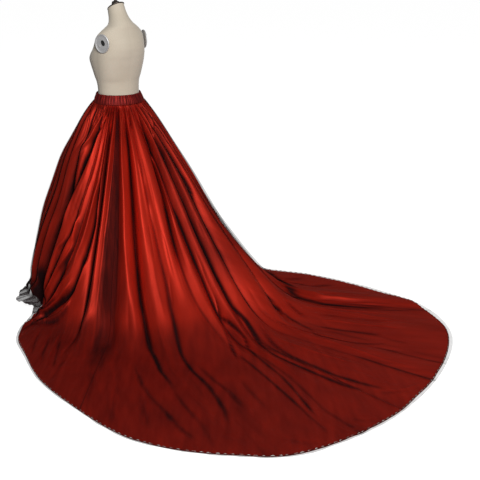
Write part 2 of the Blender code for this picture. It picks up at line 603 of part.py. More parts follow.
def arm_plate(name, side):
    """A plain oval plate closing the armhole, on a shallow fabric-coloured boss."""
    rings = []
    turn = math.radians(PLATE_TURN)
    for grow, out in ((0.0, 0.0006), (0.0, PLATE_WALL), (-0.004, PLATE_WALL + 0.002), (-0.024, PLATE_WALL + 0.003)):
        ring = []
        for i in range(28):
            a = 2 * math.pi * i / 28
            along = PLATE_ALONG + (PLATE_HALF_WIDTH + grow) * math.cos(a)
            ring.append((side * ((PLATE_OUT + out) * math.cos(turn) - along * math.sin(turn)),
                         (PLATE_OUT + out) * math.sin(turn) + along * math.cos(turn),
                         PLATE_Z + (PLATE_HALF_HEIGHT + grow) * math.sin(a)))
        rings.append(ring)
    return lofted(name, rings, "plate")


arm_plate("form_arm_plate_left", 1)
arm_plate("form_arm_plate_right", -1)
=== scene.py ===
"""Looks of the gathered satin train skirt with its sheer tulle overlay, on a
limbless dress form.  Metres, +Z up, front at -Y, train to +Y, wearer's left +X.

The cloth is made again on its solids' own form (the same plan, fall and fold
tables), fine enough for soft creases, with the main creases given one by one.
A place on the cloth is a bearing round the waist in degrees (0 front, 90 the
wearer's left, 180 the centre back) and a distance down it in metres.
"""

import math

import bpy
import numpy as np
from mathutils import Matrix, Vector


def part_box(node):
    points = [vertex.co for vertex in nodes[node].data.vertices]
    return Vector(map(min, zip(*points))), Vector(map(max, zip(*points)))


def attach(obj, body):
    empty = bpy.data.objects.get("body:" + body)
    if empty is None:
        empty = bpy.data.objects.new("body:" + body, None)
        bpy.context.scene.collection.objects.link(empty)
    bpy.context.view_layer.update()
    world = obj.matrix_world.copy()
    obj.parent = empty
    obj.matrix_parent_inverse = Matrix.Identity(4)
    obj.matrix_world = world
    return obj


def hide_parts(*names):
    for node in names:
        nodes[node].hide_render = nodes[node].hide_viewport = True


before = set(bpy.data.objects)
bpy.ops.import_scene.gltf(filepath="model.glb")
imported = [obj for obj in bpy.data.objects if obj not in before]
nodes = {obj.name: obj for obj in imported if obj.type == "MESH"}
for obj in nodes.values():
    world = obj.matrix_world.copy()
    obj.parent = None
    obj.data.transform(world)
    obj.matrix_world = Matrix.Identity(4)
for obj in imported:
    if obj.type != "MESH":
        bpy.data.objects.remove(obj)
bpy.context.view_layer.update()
rng = np.random.default_rng(7)

# --------------------------------------------------------------- camera
CAMERA_AT = Vector((3.1651, 3.7720, 1.9482))
CAMERA_LOOK = Vector((-0.6956, -0.6403, -0.3259))
FOCAL_PIXELS, FRAME_PIXELS = 940.7, 480

camera_data = bpy.data.cameras.new("camera")
camera_data.sensor_width, camera_data.sensor_fit = 36.0, "HORIZONTAL"
camera_data.lens = FOCAL_PIXELS / FRAME_PIXELS * 36.0
camera_data.clip_start, camera_data.clip_end = 0.05, 200.0
camera = bpy.data.objects.new("camera", camera_data)
camera.location = CAMERA_AT
camera.rotation_mode = "QUATERNION"
camera.rotation_quaternion = CAMERA_LOOK.to_track_quat("-Z", "Y")
bpy.context.scene.collection.objects.link(camera)
bpy.context.scene.camera = camera

# ---------------------------------------------- sizes shared with the solids
WAIST_Z, BAND_HEIGHT = 1.036, 0.046
BAND_TILT, BAND_TILT_BEARING = 0.005, 30.0
BAND_TOP_HALF_WIDTH, BAND_TOP_HALF_DEPTH = 0.1255, 0.0945
WAIST_HALF_WIDTH, WAIST_HALF_DEPTH = 0.142, 0.110
BAND_WALL = 0.0045
TOUCH_ROUNDING, SWEPT_ROUNDING = 0.09, 0.12
HEM_LIFT, HEM_PULL, HEM_TUCK = 0.064, 0.026, 0.034
DRAWN_IN = (
    # bearing, bearing_spread, down, down_spread, depth
    (66, 22, .50, .24, .026), (214, 16, .62, .38, .020),
)

PLAN = (
    # bearing, touch, hem, sweep
    (0, .560, .570, .00), (25, .552, .562, .00), (50, .540, .552, .00),
    (75, .545, .590, .12), (90, .570, .680, .30), (101, .600, .850, .45),
    (110, .640, .970, .58), (120, .690, 1.170, .70), (130, .740, 1.385, .80),
    (140, .790, 1.660, .88), (150, .850, 1.835, .95), (160, .910, 1.955, 1.0),
    (170, .960, 1.942, 1.0), (180, .980, 1.900, 1.0), (190, .970, 1.850, 1.0),
    (200, .940, 1.790, 1.0), (210, .890, 1.640, 1.0), (220, .840, 1.340, 1.0),
    (230, .790, 1.050, .95), (240, .730, .800, .80), (250, .660, .700, .55),
    (270, .570, .600, .20), (300, .545, .555, .00), (330, .555, .565, .00),
)
FALL = (
    # height, bell, sweep
    (1.036, .000, .000), (.986, .100, .052), (.906, .215, .125),
    (.827, .330, .186), (.743, .445, .255), (.586, .590, .386),
    (.465, .698, .479), (.368, .768, .568), (.282, .822, .655),
    (.159, .905, .785), (.077, .955, .885), (.030, .983, .950),
    (.000, 1.00, 1.00),
)
FOLD_AT = (0.0, 0.25, 0.60, 0.95, 1.15, 1.45, 2.10)
DEPTH_AT = (0.25, 0.60, 0.95, 1.15, 1.45)
FOLDS = (
    # name, waist, hip, thigh, shin, floor, train, end, d_hip, d_thigh, d_shin, d_floor, d_train
    ("front_left_roll", 66, 65, 63.5, 63, 62, 62, 62, 9, 15, 18, 12, 0),
    ("front_left_dip", 72, 72, 70.5, 69.5, 69, 69, 69, -8, -13, -14, -6, 0),
    ("left_roll", 80, 79, 77.5, 76, 75, 75, 75, 8, 13, 14, 8, 0),
    ("left_hollow", 92, 90, 87, 81.5, 79, 79, 79, -16, -34, -34, -12, 0),
    ("hip_roll", 104, 96.5, 89.2, 83.2, 80.8, 81, 81, 12, -26, -28, -10, 0),
    ("hip_crease", 111, 104, 92, 85, 82.5, 83, 83, -18, -26, -22, -8, 0),
    ("swag_1", 114, 108.5, 95, 86.8, 84.2, 85, 85, 10, 17, 12, 7, 2),
    ("swag_1_dip", 116, 112.5, 103, 89, 86, 87, 87, -3, -9, -14, -7, 0),
    ("swag_2", 118, 115, 106, 91.5, 88, 89, 89, 3, 8, 12, 9, 2),
    ("swag_2_dip", 120, 117.5, 110, 97.5, 90.2, 92, 92, -3, -8, -14, -8, 0),
    ("swag_3", 122, 120.5, 116, 105, 92.5, 95, 95, 6, 11, 16, 11, 2),
    ("swag_3_dip", 123.6, 122, 119.3, 111, 95, 99, 99, -4, -12, -20, -11, 0),
    ("swag_4", 124.6, 122.6, 120.4, 114.5, 100, 104, 104, 1, 3, 8, 8, 2),
    ("left_pinch", 127.6, 125, 123, 120.5, 119.8, 120, 121, -7, -11, -12, -10, -1),
    ("left_pipe", 131.4, 128.8, 126.4, 124.2, 122.6, 123, 124, 14, 19, 20, 20, 2),
    ("stripe_edge", 133.5, 132.4, 130.2, 128.4, 128.2, 129.2, 128, 2, -3, -6, -8, -4),
    ("stripe_hollow", 137, 136.3, 134.6, 133, 132.6, 131.6, 131, -17, -20, -22, -26, -8),
    ("back_left_pipe", 141, 140.5, 140.4, 140.6, 140, 138, 137, 17, 21, 22, 20, 5),
    ("deep_hollow", 149, 148.3, 146, 145.1, 146, 147, 150, -14, -15, -16, -18, -8),
    ("broad_roll", 152.5, 152.6, 151.2, 151, 151, 151, 152.5, 10, 17, 18, 16, 5),
    ("broad_dip", 157.5, 158, 157, 157, 156, 154.3, 155, -3, -3, -6, -8, -6),
    ("broad_roll_2", 163, 163.5, 162, 161.5, 161, 160.5, 160, 6, 8, 8, 8, 4),
    ("back_crease", 173, 172.8, 168, 165, 165.3, 167, 164.5, -21, -12, -4, -2, -3),
    ("back_rib", 174.5, 173.7, 170.3, 169, 169, 169.2, 166, -8, 4, 10, 10, 4),
    ("back_crease_2", 176, 174.8, 172.5, 172, 171.5, 171.4, 167.5, -14, -9, -10, -12, -8),
    ("centre_roll", 180, 179, 177.5, 176, 175, 173.4, 171, 15, 17, 14, 13, 11),
    ("centre_hollow", 184.5, 184, 181.5, 179.4, 177.7, 175.4, 175.5, -18, -20, -18, -13, -8),
    ("train_roll", 188, 188, 186, 184, 182.3, 180.5, 180, 13, 17, 16, 16, 13),
    ("train_hollow", 195, 196.5, 193.2, 187.3, 185.7, 184.5, 185, -12, -19, -20, -18, -6),
    ("train_roll_2", 200, 201, 198.5, 195.5, 193.5, 188.5, 188, 14, 21, 24, 22, 11),
    ("train_hollow_2", 205, 205, 203, 201.8, 200.6, 192.7, 192, -10, -14, -16, -20, -10),
    ("train_roll_3", 209.5, 209, 208.3, 207.5, 206.5, 203, 202, 13, 19, 22, 22, 14),
    ("far_hollow", 214, 215, 216.5, 217, 215.5, 209.5, 209.5, -10, -12, -14, -14, -12),
    ("far_rib", 219, 221, 223.5, 224.5, 222, 214, 212.8, 10, 13, 13, 14, 20),
    ("far_dip", 225, 227.5, 231, 233, 230, 221, 217.5, -12, -14, -14, -12, -3),
)
PLAIN_FOLDS = 26
PLAIN_FROM, PLAIN_TO = 233.0, 421.0
SATIN_SEAMS = (
    ("satin_side_left", "front_left_dip", "stripe_hollow"),
    ("satin_train_left", "stripe_hollow", "centre_hollow"),
    ("satin_train_right", "centre_hollow", "far_dip"),
    ("satin_side_right", "far_dip", "plain_12"),
    ("satin_front", "plain_12", "front_left_dip"),
)
TULLE_SEAMS = (
    ("tulle_left", "left_hollow", "train_hollow"),
    ("tulle_right", "train_hollow", "plain_10"),
    ("tulle_front", "plain_10", "left_hollow"),
)

# Creases given one by one: how deep (-) or proud (+), how wide at each end, how
# much of each end fades, and the places it passes through (bearing, distance).
CREASES = (
    # name, depth_mm, wide_top_mm, wide_end_mm, fade_top, fade_end, path
    ("top_a", -8, 4.8, 7.5, .04, .45, ((91, .004), (89.5, .05), (89, .08), (88.5, .11), (88, .15), (86, .21), (83, .27))),
    ("top_b", -8, 4.8, 7.5, .04, .40, ((73, .004), (78, .05), (82, .08), (84, .12), (84.5, .16), (83, .22), (80, .29))),
    ("top_c", -7, 4.2, 5.0, .04, .40, ((99, .004), (97.5, .04), (98, .07), (97.5, .11), (96.5, .15))),
    ("top_d", -9, 4.8, 7.5, .04, .35, ((116, .004), (114, .05), (113, .07), (111.5, .10), (107.5, .14), (104, .20), (101.5, .27))),
    ("top_e", -6, 4.2, 5.0, .04, .50, ((104.5, .004), (103.5, .04), (104, .08), (103, .12))),
    ("top_f", -6, 4.2, 5.0, .04, .50, ((119.5, .004), (119, .045), (118.5, .07), (117.5, .10))),
    ("top_g", -9, 4.8, 7.5, .04, .40, ((127.5, .004), (126, .04), (125.7, .07), (125, .10), (124.8, .16), (124.4, .24))),
    ("top_h", -9, 4.8, 7.5, .04, .35, ((134, .004), (135.5, .05), (136.6, .09), (136.4, .15), (136.6, .22), (136.4, .30))),
    ("top_i", -7, 4.2, 5.0, .04, .50, ((140, .004), (144, .05), (143.8, .07), (142.5, .11))),
    ("top_j", -9, 4.8, 7.5, .04, .35, ((150, .004), (151, .05), (150.2, .08), (150, .11), (149.8, .15), (148.4, .21))),
    ("top_k", -9, 4.8, 7.5, .04, .45, ((160.5, .004), (160, .05), (159, .08), (157, .11), (154.6, .16), (153, .20))),
    ("top_l", -6, 4.2, 5.0, .04, .50, ((167, .004), (167.5, .05), (167, .08), (166, .12))),
    ("top_m", -11, 4.8, 7.5, .04, .30, ((183.5, .004), (179.5, .05), (178, .08), (177, .12), (176, .17), (175.8, .22), (175, .30))),
    ("top_n", -9, 4.8, 7.5, .04, .30, ((200, .004), (197, .06), (195.5, .09), (193.5, .12), (188.5, .17), (186, .23), (185.7, .31))),
    ("top_o", -8, 4.8, 7.5, .04, .30, ((214, .004), (211, .08), (204, .12), (199, .17), (199, .24), (198, .32))),
    ("swag_a", 6, 7, 9, .20, .08, ((98, .66), (96, .718), (92.8, .756), (91.3, .80), (90, .85), (88.8, .905), (87, .97), (85, 1.03), (83.5, 1.09), (84, 1.14))),
    ("swag_b", 9, 5.5, 6, .25, .10, ((105, .70), (102.9, .757), (101, .795), (98, .84), (94.6, .905), (92.3, .962), (90.2, 1.004), (87.5, 1.06), (86, 1.12))),
    ("swag_ab", -6, 6, 7, .25, .15, ((99.5, .75), (97, .80), (94, .85), (91.5, .91), (89.6, .97), (87.6, 1.03), (85.6, 1.10))),
    ("swag_bc", -9, 7, 6, .25, .12, ((106, .80), (103.5, .85), (100, .90), (97.4, .95), (95, 1.0), (92.4, 1.045), (89.4, 1.10), (87.2, 1.15))),
    ("swag_c", 10, 5.5, 5.5, .25, .08, ((109.5, .856), (107, .895), (103.5, .935), (101.4, .979), (99.4, 1.019), (96, 1.062), (92, 1.10), (88, 1.145), (86.6, 1.18))),
    ("swag_d", 11, 6, 5.5, .20, .06, ((109.8, .90), (107.3, .955), (104.1, 1.007), (99.9, 1.05), (96, 1.092), (92.6, 1.125), (90, 1.16), (89.6, 1.19))),
    ("swag_de", -8, 8, 6.5, .25, .12, ((112, .94), (109, .99), (105.5, 1.045), (101.5, 1.085), (97.4, 1.12), (93.6, 1.15))),
    ("swag_e", 10, 6, 5.5, .25, .08, ((112, .98), (109.7, 1.05), (105.6, 1.107), (102, 1.136), (98.7, 1.163), (94.5, 1.185), (92.4, 1.20))),
    ("swag_under", -6, 7, 8, .20, .25, ((108, 1.12), (104, 1.155), (100, 1.18), (96.5, 1.20))),
    ("roll_edge", -5, 5, 6, .25, .15, ((173.5, 1.06), (172.6, 1.15), (170.6, 1.25), (168.6, 1.35), (167, 1.44), (165.6, 1.54))),
    ("hollow_a", -12, 9, 22, .12, .12, ((91, .06), (87.5, .5), (86, .7), (82.5, .85), (81, .95), (79, 1.08))),
    ("ridge_b", 8, 6, 6, .10, .35, ((111.5, .02), (103.7, .11), (101, .18), (95, .255), (92.3, .345))),
    ("valley_c", -10, 4, 8, .10, .30, ((123, .02), (114.5, .09), (108, .17), (104.5, .23), (101, .3), (98, .37), (94.5, .47), (91, .62))),
    ("ridge_d", 6, 7, 8, .20, .25, ((104, .25), (100, .4), (97, .5), (95, .60), (93.5, .68))),
    ("valley_e", -7, 6, 7, .25, .30, ((105, .555), (102, .667), (98.6, .745))),
    ("ridge_f", 7, 6, 7, .25, .30, ((106.6, .58), (105, .66), (103, .735))),
    ("valley_g", -5, 10, 10, .25, .30, ((109, .66), (105, .76), (102, .83))),
    ("ridge_h", 9, 6, 8, .25, .25, ((123, .33), (119.4, .44), (116.6, .58), (114.4, .69), (111, .8), (107.6, .90))),
    ("valley_i", -11, 8, 10, .25, .30, ((121, .53), (118, .69), (114.4, .84), (111, .95), (107.5, 1.01))),
    ("ridge_j", 6, 8, 9, .25, .30, ((118, .8), (115, .89), (111.6, .98))),
    ("valley_k", -9, 3.5, 9, .08, .15, ((124.8, .07), (124.4, .22), (123.7, .44), (122.6, .62), (121.6, .78), (120.5, .94), (119.8, 1.07), (120, 1.24))),
    ("ridge_l", 5, 6, 16, .10, .10, ((129.4, .11), (128, .33), (126.6, .555), (125, .78), (124, 1.0), (121.6, 1.155), (120.9, 1.244))),
    ("stripe_left", -1.5, 3, 6, .10, .20, ((132.6, .1), (132.3, .3), (130.9, .5), (129.4, .7), (128.4, .9), (127.6, 1.1), (129.4, 1.3))),
    ("stripe_right", -2, 4, 8, .08, .20, ((137, .1), (137, .3), (136.6, .5), (136, .7), (135.3, .9), (134.2, 1.1), (132.5, 1.3), (131.6, 1.5), (131, 1.7), (130.5, 1.8))),
    ("ridge_n", 5, 6, 16, .10, .30, ((140, .1), (140, .3), (140.9, .5), (140, .7), (140.9, .9), (140, 1.1))),
    ("valley_o", -10, 3.5, 13, .06, .25, ((148.5, .1), (149, .2), (148, .3), (146.5, .5), (145.4, .7), (145, .9), (145, 1.0), (146, 1.2), (147, 1.4), (147, 1.5), (148, 1.6), (149, 1.75))),
    ("ridge_p", 4, 5, 12, .25, .35, ((156.4, .25), (156.4, .45), (156.0, .7))),
    ("line_p1", -1.2, 3, 4, .3, .3, ((154.8, .62), (154.6, .70), (154.3, .85))),
    ("line_p2", -1.8, 4, 6, .3, .3, ((157, .92), (156, 1.06), (155, 1.235), (153.9, 1.41), (153.6, 1.53))),
    ("line_p3", -1.2, 4, 5, .3, .3, ((158.9, .92), (157.9, 1.02), (157, 1.1))),
    ("valley_q", -12, 4, 12, .12, .25, ((176.5, .14), (175, .24), (173, .32), (171, .4), (169.8, .5), (168, .58), (166.5, .68), (165.5, .8), (165, .95))),
    ("valley_r", -8, 4, 8, .10, .12, ((172, .55), (172.9, .66), (172.5, .8), (172, .965), (171.4, 1.18), (173, 1.25), (173.5, 1.35), (171.5, 1.45), (170, 1.6), (169, 1.75), (167.5, 1.9), (166, 2.05), (165, 2.2))),
    ("valley_s", -11, 4.5, 7, .10, .10, ((186, .20), (185.5, .28), (182.2, .45), (181.4, .65), (180.4, .82), (179.3, .94), (178.6, 1.06), (177.5, 1.18), (177.9, 1.27), (177, 1.35), (175.7, 1.435), (174.3, 1.53), (174, 1.6), (174.3, 1.8), (175, 2.0), (176.5, 2.1))),
    ("valley_s3", -7, 6, 6, .12, .12, ((180.7, 1.34), (178.9, 1.41), (177.5, 1.5), (176.4, 1.65), (176.4, 1.85), (177.5, 2.05), (178.5, 2.15))),
    ("rib_s", 9, 7, 8, .20, .15, ((176.4, 1.46), (175.2, 1.56), (175.1, 1.7), (175.4, 1.88), (176.3, 2.05))),
    ("valley_t", -11, 5, 9, .10, .20, ((199, .22), (198, .34), (196.4, .51), (193.6, .59), (191.4, .68), (190, .78), (188.6, .87), (187.5, .94), (186.4, 1.01), (185.7, 1.12), (185.4, 1.21), (184.6, 1.29))),
    ("valley_v", -8, 7, 9, .15, .20, ((201.4, 1.035), (200.7, 1.13), (200, 1.22), (197, 1.3), (194.3, 1.39), (192, 1.47), (190.7, 1.53), (188.5, 1.6), (189, 1.72), (191, 1.85), (194, 1.95))),
    ("valley_v2", -6, 8, 8, .3, .3, ((202.9, 1.28), (198.6, 1.39), (196.4, 1.46))),
    ("line_v3", -4, 6, 6, .3, .3, ((193.6, 1.14), (194.2, 1.2), (195.4, 1.27))),
    ("far_crease", -16, 26, 16, .10, .25, ((233, 1.215), (222, 1.265), (214, 1.33), (209, 1.41), (207.5, 1.5), (207.9, 1.59), (208, 1.7), (209.5, 1.9))),
    ("rib_w", 9, 14, 14, .25, .35, ((215, 1.38), (211.5, 1.5), (211.3, 1.65), (212, 1.8))),
    ("train_ridge_1", 6, 16, 22, .25, .35, ((202.5, 1.4), (203, 1.65), (203, 1.9))),
    ("train_ridge_2", 5, 14, 18, .25, .35, ((193, 1.35), (192.6, 1.52), (193, 1.7))),
    ("train_line_1", -5, 8, 9, .3, .1, ((190.5, 1.8), (190.2, 2.0), (190.5, 2.25))),
    ("train_line_2", -5, 8, 9, .3, .1, ((185, 1.8), (184.8, 2.0), (185, 2.3))),
    ("far_line_1", -4, 7, 7, .3, .3, ((219, 1.30), (220.5, 1.42), (222, 1.6))),
    ("far_line_2", -3.5, 6, 6, .3, .3, ((226, 1.26), (226.5, 1.34), (227, 1.42))),
    ("train_valley_1", -3.2, 8, 9, .25, .15, ((140.5, 1.4), (141.5, 1.5), (142.5, 1.65), (143.5, 1.75), (145.5, 1.9), (147, 2.05), (148.5, 2.15))),
    ("train_valley_2", -5, 7, 8, .25, .2, ((155, 1.2), (154, 1.4), (154, 1.5), (155, 1.7), (154.5, 1.9), (153, 2.1))),
    ("train_valley_3", -3.5, 6, 7, .3, .3, ((156.4, 1.45), (156.6, 1.6), (157.6, 1.8), (157.6, 2.0))),
    ("front_line_1", -6, 8, 10, .35, .2, ((71, .72), (70, .85), (69.5, 1.02))),
    ("front_ridge_1", 4, 8, 9, .3, .2, ((77.5, .55), (76, .8), (75, 1.0))),
    ("front_ridge_2", 4, 8, 9, .3, .2, ((64.5, .75), (64, .9), (63.5, 1.02))),
    ("left_fan_1", -3, 7, 7, .3, .3, ((103, 1.22), (107, 1.32), (112, 1.45))),
    ("left_fan_2", -3, 6, 7, .3, .3, ((108, 1.20), (112.5, 1.34), (117, 1.52))),
    ("left_fan_3", -3.5, 7, 8, .3, .3, ((114, 1.22), (118, 1.38), (122, 1.58))),
    ("left_fan_4", 3, 8, 9, .3, .3, ((111, 1.18), (115, 1.34), (119.5, 1.55))),
    ("train_fine_1", -5, 6, 7, .20, .20, ((187.5, 1.2), (188.3, 1.5), (190, 1.9), (192, 2.1))),
    ("train_fine_2", -6, 6, 6, .25, .25, ((202, 1.10), (199.5, 1.2), (196, 1.35))),
    ("train_fine_3", -5, 6, 7, .25, .25, ((193, 1.5), (194.3, 1.7), (196, 1.9))),
    ("train_fine_4", -6, 7, 8, .25, .25, ((205.5, 1.38), (206.5, 1.6), (208, 1.85), (209.5, 2.0))),
    ("train_bright_1", 8, 9, 9, .30, .30, ((199, 1.28), (194.5, 1.36), (190, 1.44))),
    ("train_bright_2", 8, 10, 12, .25, .30, ((209.3, 1.42), (210, 1.65), (211, 1.88))),
    ("train_thin_1", -4, 6, 6, .20, .20, ((168, 1.4), (166.5, 1.7), (165, 2.05), (164, 2.3))),
    ("floor_rib_1", 4, 5, 6, .30, .30, ((180, 1.42), (180.4, 1.62), (182, 1.9))),
    ("floor_rib_2", 4, 5, 6, .30, .30, ((197, 1.5), (198.5, 1.7), (200, 1.95))),
    ("floor_rib_3", 4, 5, 6, .30, .30, ((204.4, 1.45), (205.2, 1.7), (206.6, 1.9))),
    ("floor_fine_1", -3.5, 4.5, 5, .30, .30, ((181.5, 1.5), (182.2, 1.7), (183.4, 1.95))),
    ("floor_fine_2", -3.5, 4.5, 5, .30, .30, ((199, 1.45), (200.4, 1.68), (202.5, 1.95))),
    ("floor_fine_3", -3.5, 4.5, 5, .30, .30, ((212.5, 1.5), (214, 1.66), (215.5, 1.8))),
    ("floor_fine_4", -2.5, 4.5, 5, .30, .30, ((162, 1.65), (160.8, 1.85), (160.6, 2.05))),
    ("floor_fine_5", -2.5, 4.5, 5, .30, .30, ((150.5, 1.7), (151.5, 1.9), (153.5, 2.1))),
    ("tip_wrinkle_4", -3, 5, 5, .3, .3, ((168.5, 2.2), (170, 2.27), (172.5, 2.31))),
    ("tip_wrinkle_5", 3, 5, 5, .3, .3, ((166, 2.24), (168.5, 2.31), (171, 2.35))),
    ("tip_wrinkle_6", -3, 5, 5, .3, .3, ((151, 2.08), (153.5, 2.16), (157, 2.21))),
    ("tip_wrinkle_1", -3, 6, 6, .3, .3, ((158, 2.20), (160, 2.27), (163, 2.33))),
    ("tip_wrinkle_2", -3, 6, 6, .3, .3, ((176.5, 2.12), (178.5, 2.18), (181, 2.20))),
    ("tip_wrinkle_3", 3, 7, 7, .3, .3, ((178, 2.14), (180.5, 2.20), (184, 2.22))),
)


def smooth_curve(x, y, at):
    """Monotone cubic through the points (x, y), read at 'at'."""
    x, y, at = np.asarray(x, float), np.asarray(y, float), np.asarray(at, float)
    step, slope = np.diff(x), np.diff(y) / np.diff(x)
    tangent = np.zeros_like(y)
    for i in range(1, len(x) - 1):
        if slope[i - 1] * slope[i] > 0:
            a, b = 2 * step[i] + step[i - 1], step[i] + 2 * step[i - 1]
            tangent[i] = (a + b) / (a / slope[i - 1] + b / slope[i])
    tangent[0], tangent[-1] = slope[0], slope[-1]
    at = np.clip(at, x[0], x[-1])
    k = np.clip(np.searchsorted(x, at) - 1, 0, len(x) - 2)
    t = (at - x[k]) / step[k]
    return ((2 * t**3 - 3 * t**2 + 1) * y[k] + (t**3 - 2 * t**2 + t) * step[k] * tangent[k]
            + (3 * t**2 - 2 * t**3) * y[k + 1] + (t**3 - t**2) * step[k] * tangent[k + 1])


def round_the_skirt(table, column, bearing):
    rows = np.array([r[:] for r in table], float)
    x = np.concatenate([rows[-3:, 0] - 360, rows[:, 0], rows[:3, 0] + 360])
    y = np.concatenate([rows[-3:, column], rows[:, column], rows[:3, column]])
    return smooth_curve(x, y, np.mod(bearing, 360.0))


def ellipse_radius(bearing, half_width, half_depth):
    t = np.radians(bearing)
    return half_width * half_depth / np.sqrt((half_depth * np.sin(t))**2 + (half_width * np.cos(t))**2)


SAMPLES = 241


def fall_line(bearing):
    start = float(ellipse_radius(bearing, WAIST_HALF_WIDTH, WAIST_HALF_DEPTH))
    touch, hem, sweep = (float(round_the_skirt(PLAN, c, bearing)) for c in (1, 2, 3))
    fall = np.array(FALL)
    z = np.linspace(WAIST_Z, 0, 160)
    out = (1 - sweep) * smooth_curve(-fall[:, 0], fall[:, 1], -z) + sweep * smooth_curve(-fall[:, 0], fall[:, 2], -z)
    r = np.concatenate([start + (touch - start) * out, np.linspace(touch, hem, 80)[1:]])
    z = np.concatenate([z, np.zeros(79)])
    for turn in range(3):
        s = np.concatenate([[0], np.cumsum(np.hypot(np.diff(r), np.diff(z)))])
        even = np.linspace(0, s[-1], SAMPLES)
        r, z = np.interp(even, s, r), np.interp(even, s, z)
        if turn == 2:
            break
        reach = max(1, int((TOUCH_ROUNDING + SWEPT_ROUNDING * sweep) * (SAMPLES - 1) / s[-1] / 2))
        sum_r, sum_z = (np.concatenate([[0], np.cumsum(q)]) for q in (r, z))
        i = np.arange(SAMPLES)
        k = np.minimum(np.minimum(i, SAMPLES - 1 - i), reach)
        r = (sum_r[i + k + 1] - sum_r[i - k]) / (2 * k + 1)
        z = (sum_z[i + k + 1] - sum_z[i - k]) / (2 * k + 1)
    return s[-1], r, z


FALL_LINES = [fall_line(b) for b in range(361)]
LENGTHS = np.array([f[0] for f in FALL_LINES])
RADII = np.array([f[1] for f in FALL_LINES])
HEIGHTS = np.array([f[2] for f in FALL_LINES])


def length_at(bearing):
    return np.interp(np.mod(bearing, 360.0), np.arange(361), LENGTHS)


def mean_surface(bearing, down):
    bearing, down = np.broadcast_arrays(np.asarray(bearing, float), np.asarray(down, float))
    turn = np.mod(bearing, 360.0)
    b0 = np.minimum(turn.astype(int), 359)
    tb = turn - b0
    full = length_at(bearing)
    share = np.clip(down / full, 0, 1) * (SAMPLES - 1)
    k = np.minimum(share.astype(int), SAMPLES - 2)
    tk = share - k

    def read(grid):
        return ((grid[b0, k] * (1 - tk) + grid[b0, k + 1] * tk) * (1 - tb)
                + (grid[b0 + 1, k] * (1 - tk) + grid[b0 + 1, k + 1] * tk) * tb)
    r = read(RADII) + np.maximum(down - full, 0)
    tilt = BAND_TILT * np.cos(np.radians(bearing - BAND_TILT_BEARING)) * np.clip(1 - down / 0.5, 0, 1)
    t = np.radians(bearing)
    return np.stack([r * np.sin(t), -r * np.cos(t), read(HEIGHTS) + tilt], -1)


def outward(bearing, down):
    across = mean_surface(bearing + 1.5, down) - mean_surface(bearing - 1.5, down)
    along = mean_surface(bearing, down + 0.02) - mean_surface(bearing, np.maximum(down - 0.02, 0))
    n = np.cross(along, across)
    return n / np.linalg.norm(n, axis=-1, keepdims=True)


def radius_at(bearing, down):
    p = mean_surface(bearing, down)
    return np.hypot(p[..., 0], p[..., 1])


def ease(t):
    t = np.clip(t, 0, 1)
    return t * t * (3 - 2 * t)


def drawn_in(bearing, down):
    turn = np.mod(bearing, 360.0)
    return sum(deep * np.exp(-((turn - at) / wide)**2) * np.exp(-((down - low) / tall)**2)
               for at, wide, low, tall, deep in DRAWN_IN)


def caught_up(bearing, down):
    """How far the front left hem is drawn in, and how far it is lifted."""
    turn, left = np.mod(bearing, 360.0), length_at(bearing) - down
    lip = round_the_skirt(PLAN, 2, bearing) - round_the_skirt(PLAN, 1, bearing)
    held = ease((turn - 40) / 20) * ease((87 - turn) / 7) * (0.62 + 0.38 * ease((turn - 58) / 16))
    hang = np.maximum(lip - left, 0)               # what would lie on the floor hangs down instead
    pull = HEM_PULL * ease((turn - 12) / 28) + HEM_TUCK * ease((turn - 72) / 10)
    pull = pull * ease((95 - turn) / 9) * ease(1 - left / 0.30) + 0.6 * hang * held
    return pull, held * (HEM_LIFT * ease(1 - (left - lip) / 0.22) - 0.6 * hang)


def soft_noise(x, y, seed, period=None):
    """Smooth noise from -1 to 1 with cells of size 1, closed after 'period' cells along x."""
    xi, yi = np.floor(x).astype(np.int64), np.floor(y).astype(np.int64)
    fx, fy = x - xi, y - yi
    fx, fy = fx**3 * (fx * (fx * 6 - 15) + 10), fy**3 * (fy * (fy * 6 - 15) + 10)

    def corner(i, j):
        if period:
            i = np.mod(i, period)
        h = (i * 374761393 + j * 668265263 + seed * 97463477) & 0xFFFFFFFF
        h = ((h ^ (h >> 13)) * 1274126177) & 0xFFFFFFFF
        return ((h ^ (h >> 16)) & 0xFFFF) / 32767.5 - 1.0
    top = corner(xi, yi) * (1 - fx) + corner(xi + 1, yi) * fx
    low = corner(xi, yi + 1) * (1 - fx) + corner(xi + 1, yi + 1) * fx
    return top * (1 - fy) + low * fy


